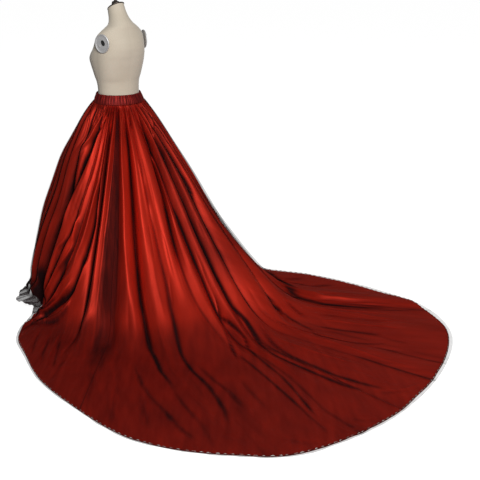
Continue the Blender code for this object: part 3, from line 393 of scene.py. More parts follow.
# ------------------------------------------------------------ the fold lines
def fold_lines():
    lines = []
    for row in FOLDS:
        name, bearings, depths = row[0], row[1:8], row[8:13]
        sign = 1 if depths[0] + depths[1] > 0 else -1
        lines.append((name, FOLD_AT, bearings, (0.0, 0.05) + DEPTH_AT + (2.1,),
                      (1.5 * sign, max(4.5, 0.5 * abs(depths[0])) * sign) + depths + (0.45 * depths[-1],)))
    gaps = [1 + 0.24 * math.sin(2.1 * k + 0.4) + 0.16 * math.sin(3.7 * k) for k in range(PLAIN_FOLDS - 1)]
    step, at = (PLAIN_TO - PLAIN_FROM) / sum(gaps), PLAIN_FROM
    for k in range(PLAIN_FOLDS):
        sign = 1 if k % 2 == 0 else -1
        size = 16 + 4 * math.sin(1.7 * k + 1) + 2.5 * math.sin(4.3 * k)
        waist = at - 3.0 * math.sin(0.9 * k)
        low = at + 2.0 * math.sin(1.3 * k + 2)
        back = max(0.0, 1 - k / 4.0)
        lines.append((f"plain_{k + 1}", FOLD_AT,
                      (waist, at - 1.5 * math.sin(0.9 * k), at + 3 * back, low + 5 * back, low + 7 * back, low, low),
                      (0.0,) + DEPTH_AT + (2.1,),
                      (1.5 * sign, .6 * size * sign, size * sign, 1.1 * size * sign, .6 * size * sign, 0, 0)))
        at += step * (gaps[k] if k < PLAIN_FOLDS - 1 else 0)
    return lines


LINES = fold_lines()
NAMES = [l[0] for l in LINES]
COUNT = len(LINES)
ROWS = 200
weight = 0.42 + 0.58 * ease(np.linspace(0, 1, ROWS - 1) / 0.16)
SHARES = np.concatenate([[0], np.cumsum(weight)]) / weight.sum()


def line_track(line):
    """Bearing and stand-out of a fold line at every share of its length."""
    down = np.linspace(0, 3, 1201)
    bearing = smooth_curve(line[1], line[2], down)
    share = down / length_at(bearing)
    share = np.maximum.accumulate(share + np.arange(len(share)) * 1e-9)
    at = np.interp(SHARES, share, down)
    return smooth_curve(line[1], line[2], at), smooth_curve(line[3], line[4], at) / 1000.0


tracks = [line_track(l) for l in LINES]
LINE_BEARING = np.array([t[0] for t in tracks])
LINE_STAND = np.array([t[1] for t in tracks])

# Columns: fine between the lines that show, coarser on the sides turned away.
FINE, FINEST, COARSE = 0.210, 0.155, 1.00
column_u = []
for i in range(COUNT):
    k = (i + 1) % COUNT
    turn = 360.0 if k == 0 else 0.0
    gap = LINE_BEARING[k] + turn - LINE_BEARING[i]
    middle = LINE_BEARING[i].mean()
    fine = FINEST if 163 < middle < 213 else 0.27 if 60 < middle < 97 else FINE if 60 < middle < 236 else COARSE
    number = max(4, int(round(0.5 * (gap.mean() + gap.max()) / fine)))
    column_u += [i + j / number for j in range(number)]
U = np.array(column_u)
COLUMNS = len(U)


def across_lines(values, u, turn=0.0, shape="smooth"):
    """Read a per-line quantity [line, row] at fold coordinates u."""
    i = np.floor(u).astype(int)
    t = (u - i)[:, None]
    i = np.mod(i, COUNT)
    ext = np.concatenate([values[-2:] - turn, values, values[:3] + turn])
    a, b, c, d = ext[i + 1], ext[i + 2], ext[i + 3], ext[i + 4]
    if shape == "bearing":                       # monotone cubic, so the columns never cross
        s0, s1, s2 = b - a, c - b, d - c
        m1 = np.where(s0 * s1 > 0, 2 * s0 * s1 / (s0 + s1 + 1e-12), 0)
        m2 = np.where(s1 * s2 > 0, 2 * s1 * s2 / (s1 + s2 + 1e-12), 0)
        return ((2 * t**3 - 3 * t**2 + 1) * b + (t**3 - 2 * t**2 + t) * m1
                + (3 * t**2 - 2 * t**3) * c + (t**3 - t**2) * m2)
    # rounded ridges and tighter valleys
    smooth = t * t * (3 - 2 * t)
    from_low = np.sin(t * math.pi / 2)**0.8      # steep at b, round at c
    from_high = 1 - np.sin((1 - t) * math.pi / 2)**0.8
    rising = c > b
    mixed = np.where(rising, 0.38 * smooth + 0.62 * from_low, 0.38 * smooth + 0.62 * from_high)
    return b + (c - b) * mixed


BEARING = across_lines(LINE_BEARING, U, 360.0, "bearing")
SHARE = np.broadcast_to(SHARES[None, :], BEARING.shape)
LENGTH = length_at(BEARING)
DOWN = SHARE * LENGTH
RADIUS = radius_at(BEARING, DOWN)
HEIGHT = mean_surface(BEARING, DOWN)[..., 2]
stand = across_lines(LINE_STAND, U)
stand *= 1 + 0.30 * ease((BEARING - 60) / 12) * ease((240 - BEARING) / 12)
FLAT_ON_FLOOR = ease((0.10 - HEIGHT) / 0.09)


# ------------------------------------------------------------------- creases
def crease_field(table, gain=1.0):
    total = np.zeros_like(BEARING)
    for name, depth, wide_top, wide_end, fade_top, fade_end, path in table:
        path = np.array(path, float)
        radii = radius_at(path[:, 0], path[:, 1])
        metre = np.radians(1.0) * radii
        seg = np.hypot(np.diff(path[:, 0]) * (metre[1:] + metre[:-1]) / 2, np.diff(path[:, 1]))
        run = np.concatenate([[0], np.cumsum(seg)])
        t = np.linspace(0, 1, max(9, int(run[-1] / 0.018)))
        pb, ps = (smooth_curve(run / run[-1], path[:, c], t) for c in (0, 1))
        pm = np.radians(1.0) * radius_at(pb, ps)
        wide = np.maximum((wide_top + (wide_end - wide_top) * t) / 1000.0, 2.0 * np.radians(np.where((pb > 165) & (pb < 213), FINEST, FINE)) * radius_at(pb, ps))
        env = ease(t / max(fade_top, 1e-3)) * ease((1 - t) / max(fade_end, 1e-3))
        margin = 3.2 * wide.max()
        near = ((DOWN > ps.min() - margin) & (DOWN < ps.max() + margin)
                & (BEARING > pb.min() - margin / pm.min()) & (BEARING < pb.max() + margin / pm.min()))
        i, j = np.nonzero(near)
        if not len(i):
            continue
        here_b, here_s = BEARING[i, j], DOWN[i, j]
        best = np.full(len(i), 1e9)
        where = np.zeros(len(i))
        for k in range(len(t) - 1):
            m = (pm[k] + pm[k + 1]) / 2
            ax, ay = (pb[k + 1] - pb[k]) * m, ps[k + 1] - ps[k]
            x, y = (here_b - pb[k]) * m, here_s - ps[k]
            share = np.clip((x * ax + y * ay) / max(ax * ax + ay * ay, 1e-12), 0, 1)
            d = (x - share * ax)**2 + (y - share * ay)**2
            closer = d < best
            best[closer], where[closer] = d[closer], (k + share)[closer]
        steps = np.arange(len(t))
        x = np.sqrt(best) / np.interp(where, steps, wide)
        profile = np.exp(-x * x) if depth > 0 else np.exp(-(np.sqrt(x * x + 0.35) - 0.5916) * 1.55)
        total[i, j] += gain * depth / 1000.0 * np.interp(where, steps, env) * profile * (x < 3.4)
    return total


def flow_bearing(u):
    """Bearings down the line at fold coordinate u."""
    return across_lines(LINE_BEARING, np.array([float(u)]), 360.0, "bearing")[0]


def flow_creases(count, u_from, u_to, seed, depth, wide, start, run):
    """Lesser creases that follow the folds: uneven in depth, width, place and length."""
    r = np.random.default_rng(seed)
    rows = []
    for k in range(count):
        u = u_from + (u_to - u_from) * (k + r.uniform(0.1, 0.9)) / count
        bearings = flow_bearing(u % COUNT)
        full = float(length_at(bearings[ROWS // 2]))
        s0 = r.uniform(*start) * full
        s1 = min(s0 + r.uniform(*run), 0.98 * full)
        s = np.linspace(s0, s1, 5)
        b = np.interp(s, SHARES * full, bearings) + r.uniform(-0.5, 0.5, 5) * np.linspace(0.2, 1, 5)
        size = r.uniform(*depth) * (1 if r.uniform() < 0.4 else -1)
        w = r.uniform(*wide)
        rows.append((f"flow_{seed}_{k}", size, w * 0.7, w * 1.2, 0.35, 0.35, tuple(zip(b, s))))
    return rows


crease = crease_field(CREASES, 1.5)
first_plain = NAMES.index("plain_1")
crease += crease_field(flow_creases(46, 0.5, first_plain - 0.5, 11, (1.2, 3.2), (5, 11), (0.12, 0.55), (0.15, 0.5)))
crease += crease_field(flow_creases(34, 13.5, first_plain + 2.5, 12, (1.5, 4.0), (8, 16), (0.55, 0.8), (0.25, 0.7)))
crease += crease_field(flow_creases(60, first_plain + 0.5, COUNT - 0.5, 13, (2.5, 7.0), (6, 13), (0.10, 0.6), (0.25, 0.7)))

# Small gathers under the band, each its own length.
gather = np.zeros_like(BEARING)
top_rows = SHARES < 0.30
gathers = 84
for k in range(gathers):
    u = COUNT * (k + rng.uniform(0.15, 0.85)) / gathers
    centre = flow_bearing(u)[None, :]
    u_turn = float(np.mod(centre[0, 0], 360.0))
    size, long, wide = rng.uniform(0.0034, 0.0085), rng.uniform(0.05, 0.26), rng.uniform(0.9, 1.6)
    off = np.mod(BEARING[:, top_rows] - centre[:, top_rows] + 180, 360) - 180
    fall = np.exp(-(DOWN[:, top_rows] / long)**1.6) * ease(DOWN[:, top_rows] / 0.012 + 0.35)
    grow = 1 + 0.9 * DOWN[:, top_rows] / 0.1
    size *= 1 - 0.72 * float(ease((u_turn - 66) / 10) * ease((262 - u_turn) / 20))     # there the creases are listed in CREASES
    gather[:, top_rows] += size * fall * np.minimum(grow, 2.2) * np.exp(-(off / wide)**2)
gather -= gather.mean(0)

# Unevenness of the cloth itself, running along the folds.
uu = U[:, None]
grain = (0.0014 * soft_noise(uu * 1.0 + 0 * DOWN, DOWN / 0.33, 3, COUNT)
         + 0.0010 * soft_noise(uu * 2.0 + 0 * DOWN, DOWN / 0.22, 4, 2 * COUNT)
         + 0.00045 * soft_noise(uu * 5.0 + 0 * DOWN, DOWN / 0.12, 5, 5 * COUNT)) * ease(DOWN / 0.12)
flat_xy = mean_surface(BEARING, DOWN)
floor_wave = (0.0026 * soft_noise(flat_xy[..., 0] / 0.16 + 50, flat_xy[..., 1] / 0.16 + 50, 8)
              + 0.0012 * soft_noise(flat_xy[..., 0] / 0.06 + 90, flat_xy[..., 1] / 0.06 + 90, 9)) * FLAT_ON_FLOOR

stand_out = stand + crease + gather + grain + floor_wave

# The dark strip at the left back lies flat between its two pipes.
stripe_left = np.interp(DOWN, (0, .1, .3, .5, .7, .9, 1.1, 1.3, 1.5, 1.8), (134.6, 133.6, 131.9, 130.0, 128.3, 127.4, 126.9, 128.0, 129.4, 130))
stripe_right = np.interp(DOWN, (0, .3, .5, .7, .9, 1.1, 1.3, 1.5, 1.8), (138.2, 138.2, 137.4, 136.6, 135.9, 134.6, 133.4, 132.6, 131.4))
STRIPE = ease((BEARING - stripe_left) / 0.7 + 0.5) * ease((stripe_right - BEARING) / 0.6 + 0.5) * ease((1.75 - DOWN) / 0.5)
STRIPE *= ease(DOWN / 0.10)
for j in range(ROWS):
    low, high = (float(np.interp(132.0, BEARING[:, j], edge[:, j])) for edge in (stripe_left, stripe_right))
    inside = (BEARING[:, j] > low - 0.4) & (BEARING[:, j] < high + 0.4)
    ends = np.interp((low - 0.4, high + 0.4), BEARING[:, j], stand_out[:, j])
    t = (BEARING[inside, j] - low + 0.4) / (high - low + 0.8)
    flat = ends[0] + (ends[1] - ends[0]) * t - 0.006 * ease(t / 0.22) * ease((1 - t) / 0.16)
    keep = 1 - ease(DOWN[inside, j] / 0.12) * ease((1.7 - DOWN[inside, j]) / 0.5)
    stand_out[inside, j] = flat * (1 - keep) + stand_out[inside, j] * keep
OUT = outward(BEARING, DOWN)
TURN = np.mod(BEARING, 360.0)
pull, lift = caught_up(BEARING, DOWN)
angle = np.radians(BEARING)
base = (mean_surface(BEARING, DOWN) - OUT * drawn_in(BEARING, DOWN)[..., None]
        + np.stack([-pull * np.sin(angle), pull * np.cos(angle), 0 * pull], -1))
POINTS = base + OUT * stand_out[..., None]
SATIN = 0.0009


def soft_floor(z, low, soft):
    """z kept above low, with a soft turn."""
    d = (z - low) / soft
    return low + soft * np.where(d > 12, d, np.log1p(np.exp(np.minimum(d, 12))))


# the hem of the front left is lifted off the floor, and the rest of the front barely touches
front = np.mod(BEARING + 180, 360) - 180
lift = lift + (0.010 + 0.006 * np.sin(np.radians(front * 7))) * ease((75 - np.abs(front)) / 20) * ease((DOWN - (LENGTH - 0.10)) / 0.10)
TENTS = (
    # from_bearing, rise_over, to_bearing, fall_over, down, spread, height
    (147, 12, 171, 3.0, 1.27, .17, .042), (172, 3, 186, 8, 1.30, .16, .022), (123, 4, 131, 3, 1.16, .12, .016),
    (140, 3, 150, 4, 1.12, .14, .018),
)
for start, rise_over, stop, fall_over, at, spread, high in TENTS:
    lift = lift + (high * ease((TURN - start) / rise_over) * ease((stop - TURN) / fall_over)
                   * np.exp(-((DOWN - at) / spread)**2))
POINTS[..., 2] += lift
POINTS[..., 2] = np.where(HEIGHT < 0.30, soft_floor(POINTS[..., 2], SATIN + 0.0004, 0.0028), POINTS[..., 2])
TOP_EDGE = WAIST_Z + BAND_TILT * np.cos(np.radians(BEARING[:, 0] - BAND_TILT_BEARING)) - 0.0003
POINTS[:, 0, 2] = TOP_EDGE


def grid_normals(p):
    across = np.roll(p, -1, 0) - np.roll(p, 1, 0)
    along = np.empty_like(p)
    along[:, 1:-1] = p[:, 2:] - p[:, :-2]
    along[:, 0], along[:, -1] = p[:, 1] - p[:, 0], p[:, -1] - p[:, -2]
    n = np.cross(along, across)
    return n / np.maximum(np.linalg.norm(n, axis=-1, keepdims=True), 1e-12)


NORMALS = grid_normals(POINTS)


def blur_across(values, steps, amount=0.5):
    for _ in range(steps):
        values = values * (1 - amount) + amount * 0.5 * (np.roll(values, 1, 0) + np.roll(values, -1, 0))
    return values


# How deep in a fold each place lies: the net is made denser there, which paints shade into the hollows and creases as
# well as standing for bunched net.
mean_stand = blur_across(stand_out, 260)
HOLLOW = np.clip((mean_stand - stand_out) / 0.022, 0, 1)
NARROW = np.clip((blur_across(stand_out, 26) - stand_out - 0.0003) / 0.0030, 0, 1)
# ---------------------------------------------------------------- materials
def new_material(name, colour, rough, metal=0.0, **constants):
    mat = bpy.data.materials.new(name)
    mat.use_nodes = True
    shader = mat.node_tree.nodes["Principled BSDF"]
    shader.inputs["Base Color"].default_value = (*colour, 1.0)
    shader.inputs["Roughness"].default_value = rough
    shader.inputs["Metallic"].default_value = metal
    for key, value in constants.items():
        shader.inputs[key.replace("_", " ")].default_value = value
    return mat, mat.node_tree, shader


def node(tree, kind, **settings):
    n = tree.nodes.new(kind)
    for key, value in settings.items():
        if hasattr(n, key):
            setattr(n, key, value)
        else:
            n.inputs[key.replace("_", " ")].default_value = value
    return n


def noise_node(tree, vector, scale, detail=3.0, rough=0.5):
    n = node(tree, "ShaderNodeTexNoise")
    n.inputs["Scale"].default_value = scale
    n.inputs["Detail"].default_value = detail
    n.inputs["Roughness"].default_value = rough
    tree.links.new(vector, n.inputs["Vector"])
    return n


def ramp(tree, value, stops):
    n = node(tree, "ShaderNodeValToRGB")
    el = n.color_ramp.elements
    el[0].position, el[0].color = stops[0][0], (*stops[0][1], 1)
    el[1].position, el[1].color = stops[-1][0], (*stops[-1][1], 1)
    for pos, colour in stops[1:-1]:
        e = el.new(pos)
        e.color = (*colour, 1)
    tree.links.new(value, n.inputs["Fac"])
    return n


def map_range(tree, value, low, high, to_low, to_high):
    n = node(tree, "ShaderNodeMapRange")
    for key, v in (("From Min", low), ("From Max", high), ("To Min", to_low), ("To Max", to_high)):
        n.inputs[key].default_value = v
    tree.links.new(value, n.inputs["Value"])
    return n


def scaled(tree, vector, scale):
    n = node(tree, "ShaderNodeMapping")
    n.inputs["Scale"].default_value = scale
    tree.links.new(vector, n.inputs["Vector"])
    return n


def bump(tree, height, strength, distance, after=None):
    n = node(tree, "ShaderNodeBump")
    n.inputs["Strength"].default_value = strength
    n.inputs["Distance"].default_value = distance
    tree.links.new(height, n.inputs["Height"])
    if after is not None:
        tree.links.new(after.outputs["Normal"], n.inputs["Normal"])
    return n


def math_node(tree, operation, a, b):
    n = node(tree, "ShaderNodeMath")
    n.operation = operation
    for k, v in enumerate((a, b)):
        if isinstance(v, (int, float)):
            n.inputs[k].default_value = v
        else:
            tree.links.new(v, n.inputs[k])
    return n


def satin_material(name, tone=1.0):
    """Warp-faced satin: broad coloured sheen, slubs along the threads, very fine weave."""
    mat, tree, shader = new_material(name, (0.62, 0.03, 0.014), 0.48, 0.53, Specular_IOR_Level=0.72,
                                     Sheen_Weight=0.02, Sheen_Roughness=0.35)
    shader.inputs["Sheen Tint"].default_value = (1.0, 0.25, 0.15, 1.0)
    shader.inputs["Specular Tint"].default_value = (1.0, 0.60, 0.48, 1.0)
    uv = node(tree, "ShaderNodeUVMap", uv_map="cloth").outputs["UV"]
    slub = noise_node(tree, scaled(tree, uv, (520.0, 22.0, 1.0)).outputs["Vector"], 1.0, 2.0)
    cloud = noise_node(tree, scaled(tree, uv, (9.0, 3.0, 1.0)).outputs["Vector"], 1.0, 3.0)
    c = ramp(tree, cloud.outputs["Fac"], ((0.30, (0.60 * tone, 0.019 * tone, 0.0058 * tone)), (0.52, (0.68 * tone, 0.023 * tone, 0.0070 * tone)),
                                          (0.74, (0.75 * tone, 0.028 * tone, 0.0090 * tone))))
    tree.links.new(c.outputs["Color"], shader.inputs["Base Color"])
    rough = map_range(tree, slub.outputs["Fac"], 0.3, 0.7, 0.48, 0.57)
    tree.links.new(rough.outputs["Result"], shader.inputs["Roughness"])
    weave = node(tree, "ShaderNodeTexWave", wave_type="BANDS", bands_direction="DIAGONAL")
    weave.inputs["Scale"].default_value = 1.0
    tree.links.new(scaled(tree, uv, (420.0, 420.0, 1.0)).outputs["Vector"], weave.inputs["Vector"])
    soft = noise_node(tree, scaled(tree, uv, (60.0, 9.0, 1.0)).outputs["Vector"], 1.0, 2.0)
    b1 = bump(tree, weave.outputs["Fac"], 0.10, 0.0002)
    b2 = bump(tree, slub.outputs["Fac"], 0.16, 0.0004, b1)
    b3 = bump(tree, soft.outputs["Fac"], 0.25, 0.0012, b2)
    tree.links.new(b3.outputs["Normal"], shader.inputs["Normal"])
    return mat


def tulle_material(name):
    """Black hexagonal net: sheer, and denser in the folds through its 'net' attribute, partly bunched layers and partly
    painted shade.
    """
    mat, tree, shader = new_material(name, (0.010, 0.004, 0.0045), 0.80, 0.0, Specular_IOR_Level=0.07)
    shader.inputs["Specular Tint"].default_value = (1.0, 0.25, 0.25, 1.0)
    uv = node(tree, "ShaderNodeUVMap", uv_map="cloth").outputs["UV"]
    density = node(tree, "ShaderNodeAttribute", attribute_name="net").outputs["Fac"]
    cells = node(tree, "ShaderNodeTexVoronoi", feature="DISTANCE_TO_EDGE")
    cells.inputs["Scale"].default_value = 1.0
    tree.links.new(scaled(tree, uv, (560.0, 560.0, 1.0)).outputs["Vector"], cells.inputs["Vector"])
    net = map_range(tree, cells.outputs["Distance"], 0.02, 0.30, 1.16, 0.88)
    cloud = noise_node(tree, scaled(tree, uv, (26.0, 5.0, 1.0)).outputs["Vector"], 1.0, 2.0)
    patchy = map_range(tree, cloud.outputs["Fac"], 0.3, 0.7, 0.86, 1.14)
    both = math_node(tree, "MULTIPLY", net.outputs["Result"], patchy.outputs["Result"])
    # painted shade: the 'net' density darkens the satin under it in hollows, creases and chosen spots
    alpha = math_node(tree, "MULTIPLY", density, both.outputs["Value"])
    alpha.use_clamp = True
    tree.links.new(alpha.outputs["Value"], shader.inputs["Alpha"])
    b = bump(tree, cells.outputs["Distance"], 0.3, 0.0003)
    tree.links.new(b.outputs["Normal"], shader.inputs["Normal"])
    return mat


def cover_material():
    mat, tree, shader = new_material("form_cover", (0.63, 0.56, 0.46), 0.82, 0.0, Specular_IOR_Level=0.25,
                                     Sheen_Weight=0.30, Sheen_Roughness=0.5)
    place = node(tree, "ShaderNodeTexCoord").outputs["Object"]
    cloud = noise_node(tree, place, 9.0, 3.0)
    c = ramp(tree, cloud.outputs["Fac"], ((0.3, (0.525, 0.462, 0.372)), (0.7, (0.575, 0.513, 0.422))))
    tree.links.new(c.outputs["Color"], shader.inputs["Base Color"])
    knit = node(tree, "ShaderNodeTexWave", wave_type="BANDS", bands_direction="Z")
    knit.inputs["Scale"].default_value = 260.0
    knit.inputs["Distortion"].default_value = 1.5
    tree.links.new(place, knit.inputs["Vector"])
    fine = noise_node(tree, place, 900.0, 2.0)
    b1 = bump(tree, knit.outputs["Fac"], 0.10, 0.0003)
    b2 = bump(tree, fine.outputs["Fac"], 0.18, 0.0004, b1)
    tree.links.new(b2.outputs["Normal"], shader.inputs["Normal"])
    return mat


def metal_material(name, colour, rough, metal=1.0):
    mat, tree, shader = new_material(name, colour, rough, metal)
    place = node(tree, "ShaderNodeTexCoord").outputs["Object"]
    n = noise_node(tree, scaled(tree, place, (40.0, 40.0, 600.0)).outputs["Vector"], 1.0, 3.0)
    r = map_range(tree, n.outputs["Fac"], 0.3, 0.7, rough * 0.85, rough * 1.25)
    tree.links.new(r.outputs["Result"], shader.inputs["Roughness"])
    c = ramp(tree, n.outputs["Fac"], ((0.3, tuple(v * 0.92 for v in colour)), (0.7, tuple(min(1, v * 1.05) for v in colour))))
    tree.links.new(c.outputs["Color"], shader.inputs["Base Color"])
    b = bump(tree, n.outputs["Fac"], 0.08, 0.0002)
    tree.links.new(b.outputs["Normal"], shader.inputs["Normal"])
    return mat


SATIN_LOOK = satin_material("red_satin")
TULLE_LOOK = tulle_material("black_tulle")
COVER_LOOK = cover_material()
CAP_LOOK = metal_material("dark_bronze_paint", (0.075, 0.062, 0.055), 0.38, 0.7)
PLATE_LOOK = metal_material("brushed_plate", (0.60, 0.60, 0.61), 0.5, 0.55)
STAND_LOOK = metal_material("brushed_stand", (0.50, 0.50, 0.52), 0.30, 1.0)


# ------------------------------------------------------------ mesh building
def mesh_object(name, verts, faces, look, normals=None, uv=None, values=None, smooth=True):
    """verts (n,3); faces list of index tuples; normals per vertex, or per loop."""
    mesh = bpy.data.meshes.new(name)
    mesh.from_pydata(np.asarray(verts, float).tolist(), [], [tuple(int(x) for x in f) for f in faces])
    if smooth:
        mesh.shade_smooth()
    loops = np.empty(len(mesh.loops), np.int32)
    mesh.loops.foreach_get("vertex_index", loops)
    if uv is not None:
        layer = mesh.uv_layers.new(name="cloth")
        layer.data.foreach_set("uv", np.asarray(uv, np.float32)[loops].ravel())
    for key, value in (values or {}).items():
        attribute = mesh.attributes.new(key, "FLOAT", "POINT")
        attribute.data.foreach_set("value", np.asarray(value, np.float32))
    if normals is not None:
        normals = np.asarray(normals, float)
        per_loop = normals[loops] if len(normals) == len(verts) and len(normals) != len(loops) else normals
        mesh.normals_split_custom_set(per_loop.tolist())
    mesh.materials.append(look)
    ob = bpy.data.objects.new(name, mesh)
    bpy.context.scene.collection.objects.link(ob)
    return ob


def grid_faces(n, m, first=0, flip=False, closed=False):
    """Quads of an n by m grid of vertices stored row by row, m fastest."""
    i = np.arange(n if closed else n - 1)[:, None]
    j = np.arange(m - 1)[None, :]
    k = (i + 1) % n
    quads = np.stack([i * m + j, i * m + j + 1, k * m + j + 1, k * m + j], -1).reshape(-1, 4) + first
    return quads[:, ::-1] if flip else quads


def kept(n):
    """Every second index, and the last."""
    return sorted(set(range(0, n, 2)) | {n - 1})


def shell(name, outer, inner, normal, look, uv, values=None):
    """A thin closed wall from matching grids [across, down]: the inside has half the detail."""
    n, m = outer.shape[:2]
    size = n * m
    kn, km = kept(n), kept(m)
    ni, mi = len(kn), len(km)
    pick = np.ix_(kn, km)
    inside = inner[pick]
    verts = np.concatenate([outer.reshape(-1, 3), inside.reshape(-1, 3)])
    front, back = grid_faces(n, m), grid_faces(ni, mi, size, True)
    out_i, in_i = np.arange(size).reshape(n, m), size + np.arange(ni * mi).reshape(ni, mi)
    rim = []
    for line, under, keep, flip in ((out_i[:, 0], in_i[:, 0], kn, True), (out_i[:, -1], in_i[:, -1], kn, False),
                                    (out_i[0], in_i[0], km, False), (out_i[-1], in_i[-1], km, True)):
        for k in range(len(keep) - 1):
            f = [int(v) for v in line[keep[k]:keep[k + 1] + 1]] + [int(under[k + 1]), int(under[k])]
            rim.append(f[::-1] if flip else f)
    faces = front.tolist() + back.tolist() + rim
    nn, ni_n = normal.reshape(-1, 3), -normal[pick].reshape(-1, 3)
    rim_n = []
    for f in rim:
        q = verts[f]
        c = np.cross(q[1] - q[0], q[-1] - q[0])
        c = c / max(np.linalg.norm(c), 1e-12)
        rim_n += [c] * len(f)
    loops = np.concatenate([nn[front].reshape(-1, 3), ni_n[back - size].reshape(-1, 3), np.array(rim_n)])
    flat_uv = np.concatenate([uv.reshape(-1, 2), uv[pick].reshape(-1, 2)])
    vals = {k: np.concatenate([v.ravel(), v[pick].ravel()]) for k, v in (values or {}).items()}
    return mesh_object(name, verts, faces, look, loops, flat_uv, vals)


def cloth_uv(p, picked_bearing, down):
    """Metres across and down the cloth, for the weave."""
    step = np.linalg.norm(np.diff(p, axis=0), axis=-1)
    across = np.concatenate([np.zeros((1, p.shape[1])), np.cumsum(step, 0)])
    return np.stack([across - across[len(across) // 2], down], -1)


def columns_between(first, last):
    a, b = NAMES.index(first), NAMES.index(last)
    i = int(np.argmin(np.abs(U - a)))
    stop = int(np.argmin(np.abs(U - b)))
    picked = [i]
    while i != stop:
        i = (i + 1) % COLUMNS
        picked.append(i)
    return picked


def area_of(ob):
    mesh = ob.data
    areas = np.empty(len(mesh.polygons), np.float32)
    mesh.polygons.foreach_get("area", areas)
    return float(areas.sum())


# ------------------------------------------------------------------- satin
INNER = POINTS - NORMALS * SATIN
INNER[..., 2] = np.where(HEIGHT < 0.30, np.maximum(INNER[..., 2], 0.0003), INNER[..., 2])
INNER[:, 0, 2] = TOP_EDGE
satin_pieces = {}
for name, first, last in SATIN_SEAMS:
    picked = columns_between(first, last)
    p, q, n = POINTS[picked], INNER[picked], NORMALS[picked]
    ob = shell(name + "_cloth", p, q, n, SATIN_LOOK, cloth_uv(p, BEARING[picked], DOWN[picked]))
    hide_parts(name)
    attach(ob, "root")
    one_side = np.linalg.norm(np.cross(p[1:, :-1] - p[:-1, :-1], p[:-1, 1:] - p[:-1, :-1]), axis=-1).sum()
    satin_pieces[name] = ob

# ------------------------------------------------------------------- tulle
bridge = np.exp(-((BEARING - 224) / 26.0)**2) * np.exp(-((DOWN - 0.82) / 0.34)**2)
left_air = np.exp(-((TURN - 63) / 9.0)**2) * ease((DOWN - 0.45) / 0.3)
spanning = np.maximum(stand_out, blur_across(stand_out, 14))
for _ in range(2):
    spanning = np.maximum(spanning, np.maximum(np.roll(spanning, 1, 0), np.roll(spanning, -1, 0)))
spanning[:, 1:-1] = np.maximum(spanning[:, 1:-1], np.maximum(spanning[:, 2:], spanning[:, :-2]))
spanning = blur_across(spanning, 2)
tulle_stand = spanning + 0.0030 + 0.014 * bridge + 0.004 * left_air
TULLE = base + OUT * tulle_stand[..., None]
TULLE[..., 2] += lift
TULLE[..., 2] = np.where(HEIGHT < 0.30, soft_floor(TULLE[..., 2], SATIN + 0.0034, 0.0028), TULLE[..., 2])
TULLE[..., 2] = np.maximum(TULLE[..., 2], np.where(HEIGHT < 0.05, POINTS[..., 2] + 0.0022, -9))
TULLE[:, 0, 2] = TOP_EDGE
keep_c = np.arange(0, COLUMNS, 2)
seam_columns = {int(np.argmin(np.abs(U - NAMES.index(n)))) for row in TULLE_SEAMS for n in row[1:]}
keep_c = np.array(sorted(set(keep_c.tolist()) | seam_columns))
keep_r = np.array(sorted(set(range(0, ROWS, 2)) | {ROWS - 1}))
T, TB, TD, TL = (q[keep_c][:, keep_r] for q in (TULLE, BEARING, DOWN, LENGTH))
T_HOLLOW, T_NARROW, T_STRIPE = (q[keep_c][:, keep_r] for q in (HOLLOW, blur_across(NARROW, 2), STRIPE))

# Where the net is drawn denser along the deepest hollows: bunched net and painted shade that darkens these hollows.
NET_BUNCHES_AND_SHADE = (
    # name, density, wide_top_mm, wide_end_mm, fade_top, fade_end, path
    ("hip_hollow", .60, 20, 34, .20, .10, ((98, .10), (91, .3), (88, .5), (85.5, .7), (82.5, .9), (80, 1.05))),
    ("left_pinch", .35, 6, 10, .15, .15, ((125, .1), (124.4, .25), (123, .5), (122, .7), (120.5, .95), (119.8, 1.1))),
    ("deep_hollow", .22, 5, 10, .10, .25, ((150, .08), (148, .25), (146.4, .45), (145.4, .7), (145.2, .95), (146, 1.2), (147, 1.4), (148, 1.6))),
    ("centre_hollow", .20, 6, 7, .10, .30, ((185.5, .05), (184, .3), (182, .5), (180.6, .8), (178.8, 1.05), (177.5, 1.3), (176, 1.5), (175.4, 1.8), (176.5, 2.1))),
    ("train_hollow", .35, 7, 14, .10, .20, ((193.5, .05), (196, .4), (192, .66), (188.6, .87), (186, 1.06), (185, 1.25))),
    ("far_hollow", .35, 14, 14, .20, .25, ((228, 1.24), (216, 1.31), (210, 1.4), (207.8, 1.55), (208.5, 1.75))),
)

# The flip at the front left: the net's hem flares out and turns up in soft pleats.
turn = np.mod(TB, 360.0)
flip = ease((turn - 52) / 12) * ease((87 - turn) / 7)
near_hem = ease((TD - (TL - 0.10)) / 0.10)
pleat = np.sin(np.radians((turn - 52) * 42)) * 0.5 + np.sin(np.radians((turn - 40) * 23 + 60)) * 0.5
radial = np.stack([np.sin(np.radians(TB)), -np.cos(np.radians(TB)), 0 * TB], -1)
T = T + radial * (flip * near_hem * (0.016 + 0.008 * pleat))[..., None]

TULLE_HEM = (
    # bearing, reach, rise
    (0, .018, .003), (35, .022, .005), (50, .018, .036), (58, .026, .040),
    (66, .052, .043), (72, .068, .039), (78, .064, .035), (83, .032, .026), (88, .016, .008), (95, .014, .002),
    (160, .014, .002), (200, .018, .003), (215, .024, .003), (240, .022, .003), (300, .018, .003),
)
edge_bearing = TB[:, -1]
reach, rise = (round_the_skirt(TULLE_HEM, c, edge_bearing) for c in (1, 2))
ripple = 0.5 + 0.5 * soft_noise(keep_c / 7.0, 0 * keep_c + 0.5, 21)
edge_radial = radial[:, -1]
extra = []
for share in (0.30, 0.65, 1.0):
    e = T[:, -1] + edge_radial * (reach * share)[:, None]
    e[:, 2] = T[:, -1, 2] * (1 - share) + (0.0022 + rise * (0.8 + 0.2 * ripple) + 0.004 * ripple * share) * share
    extra.append(e)
T = np.concatenate([T, np.stack(extra, 1)], 1)
grow = lambda q: np.concatenate([q] + [q[:, -1:]] * 3, 1)
TT = np.mod(grow(TB), 360.0)
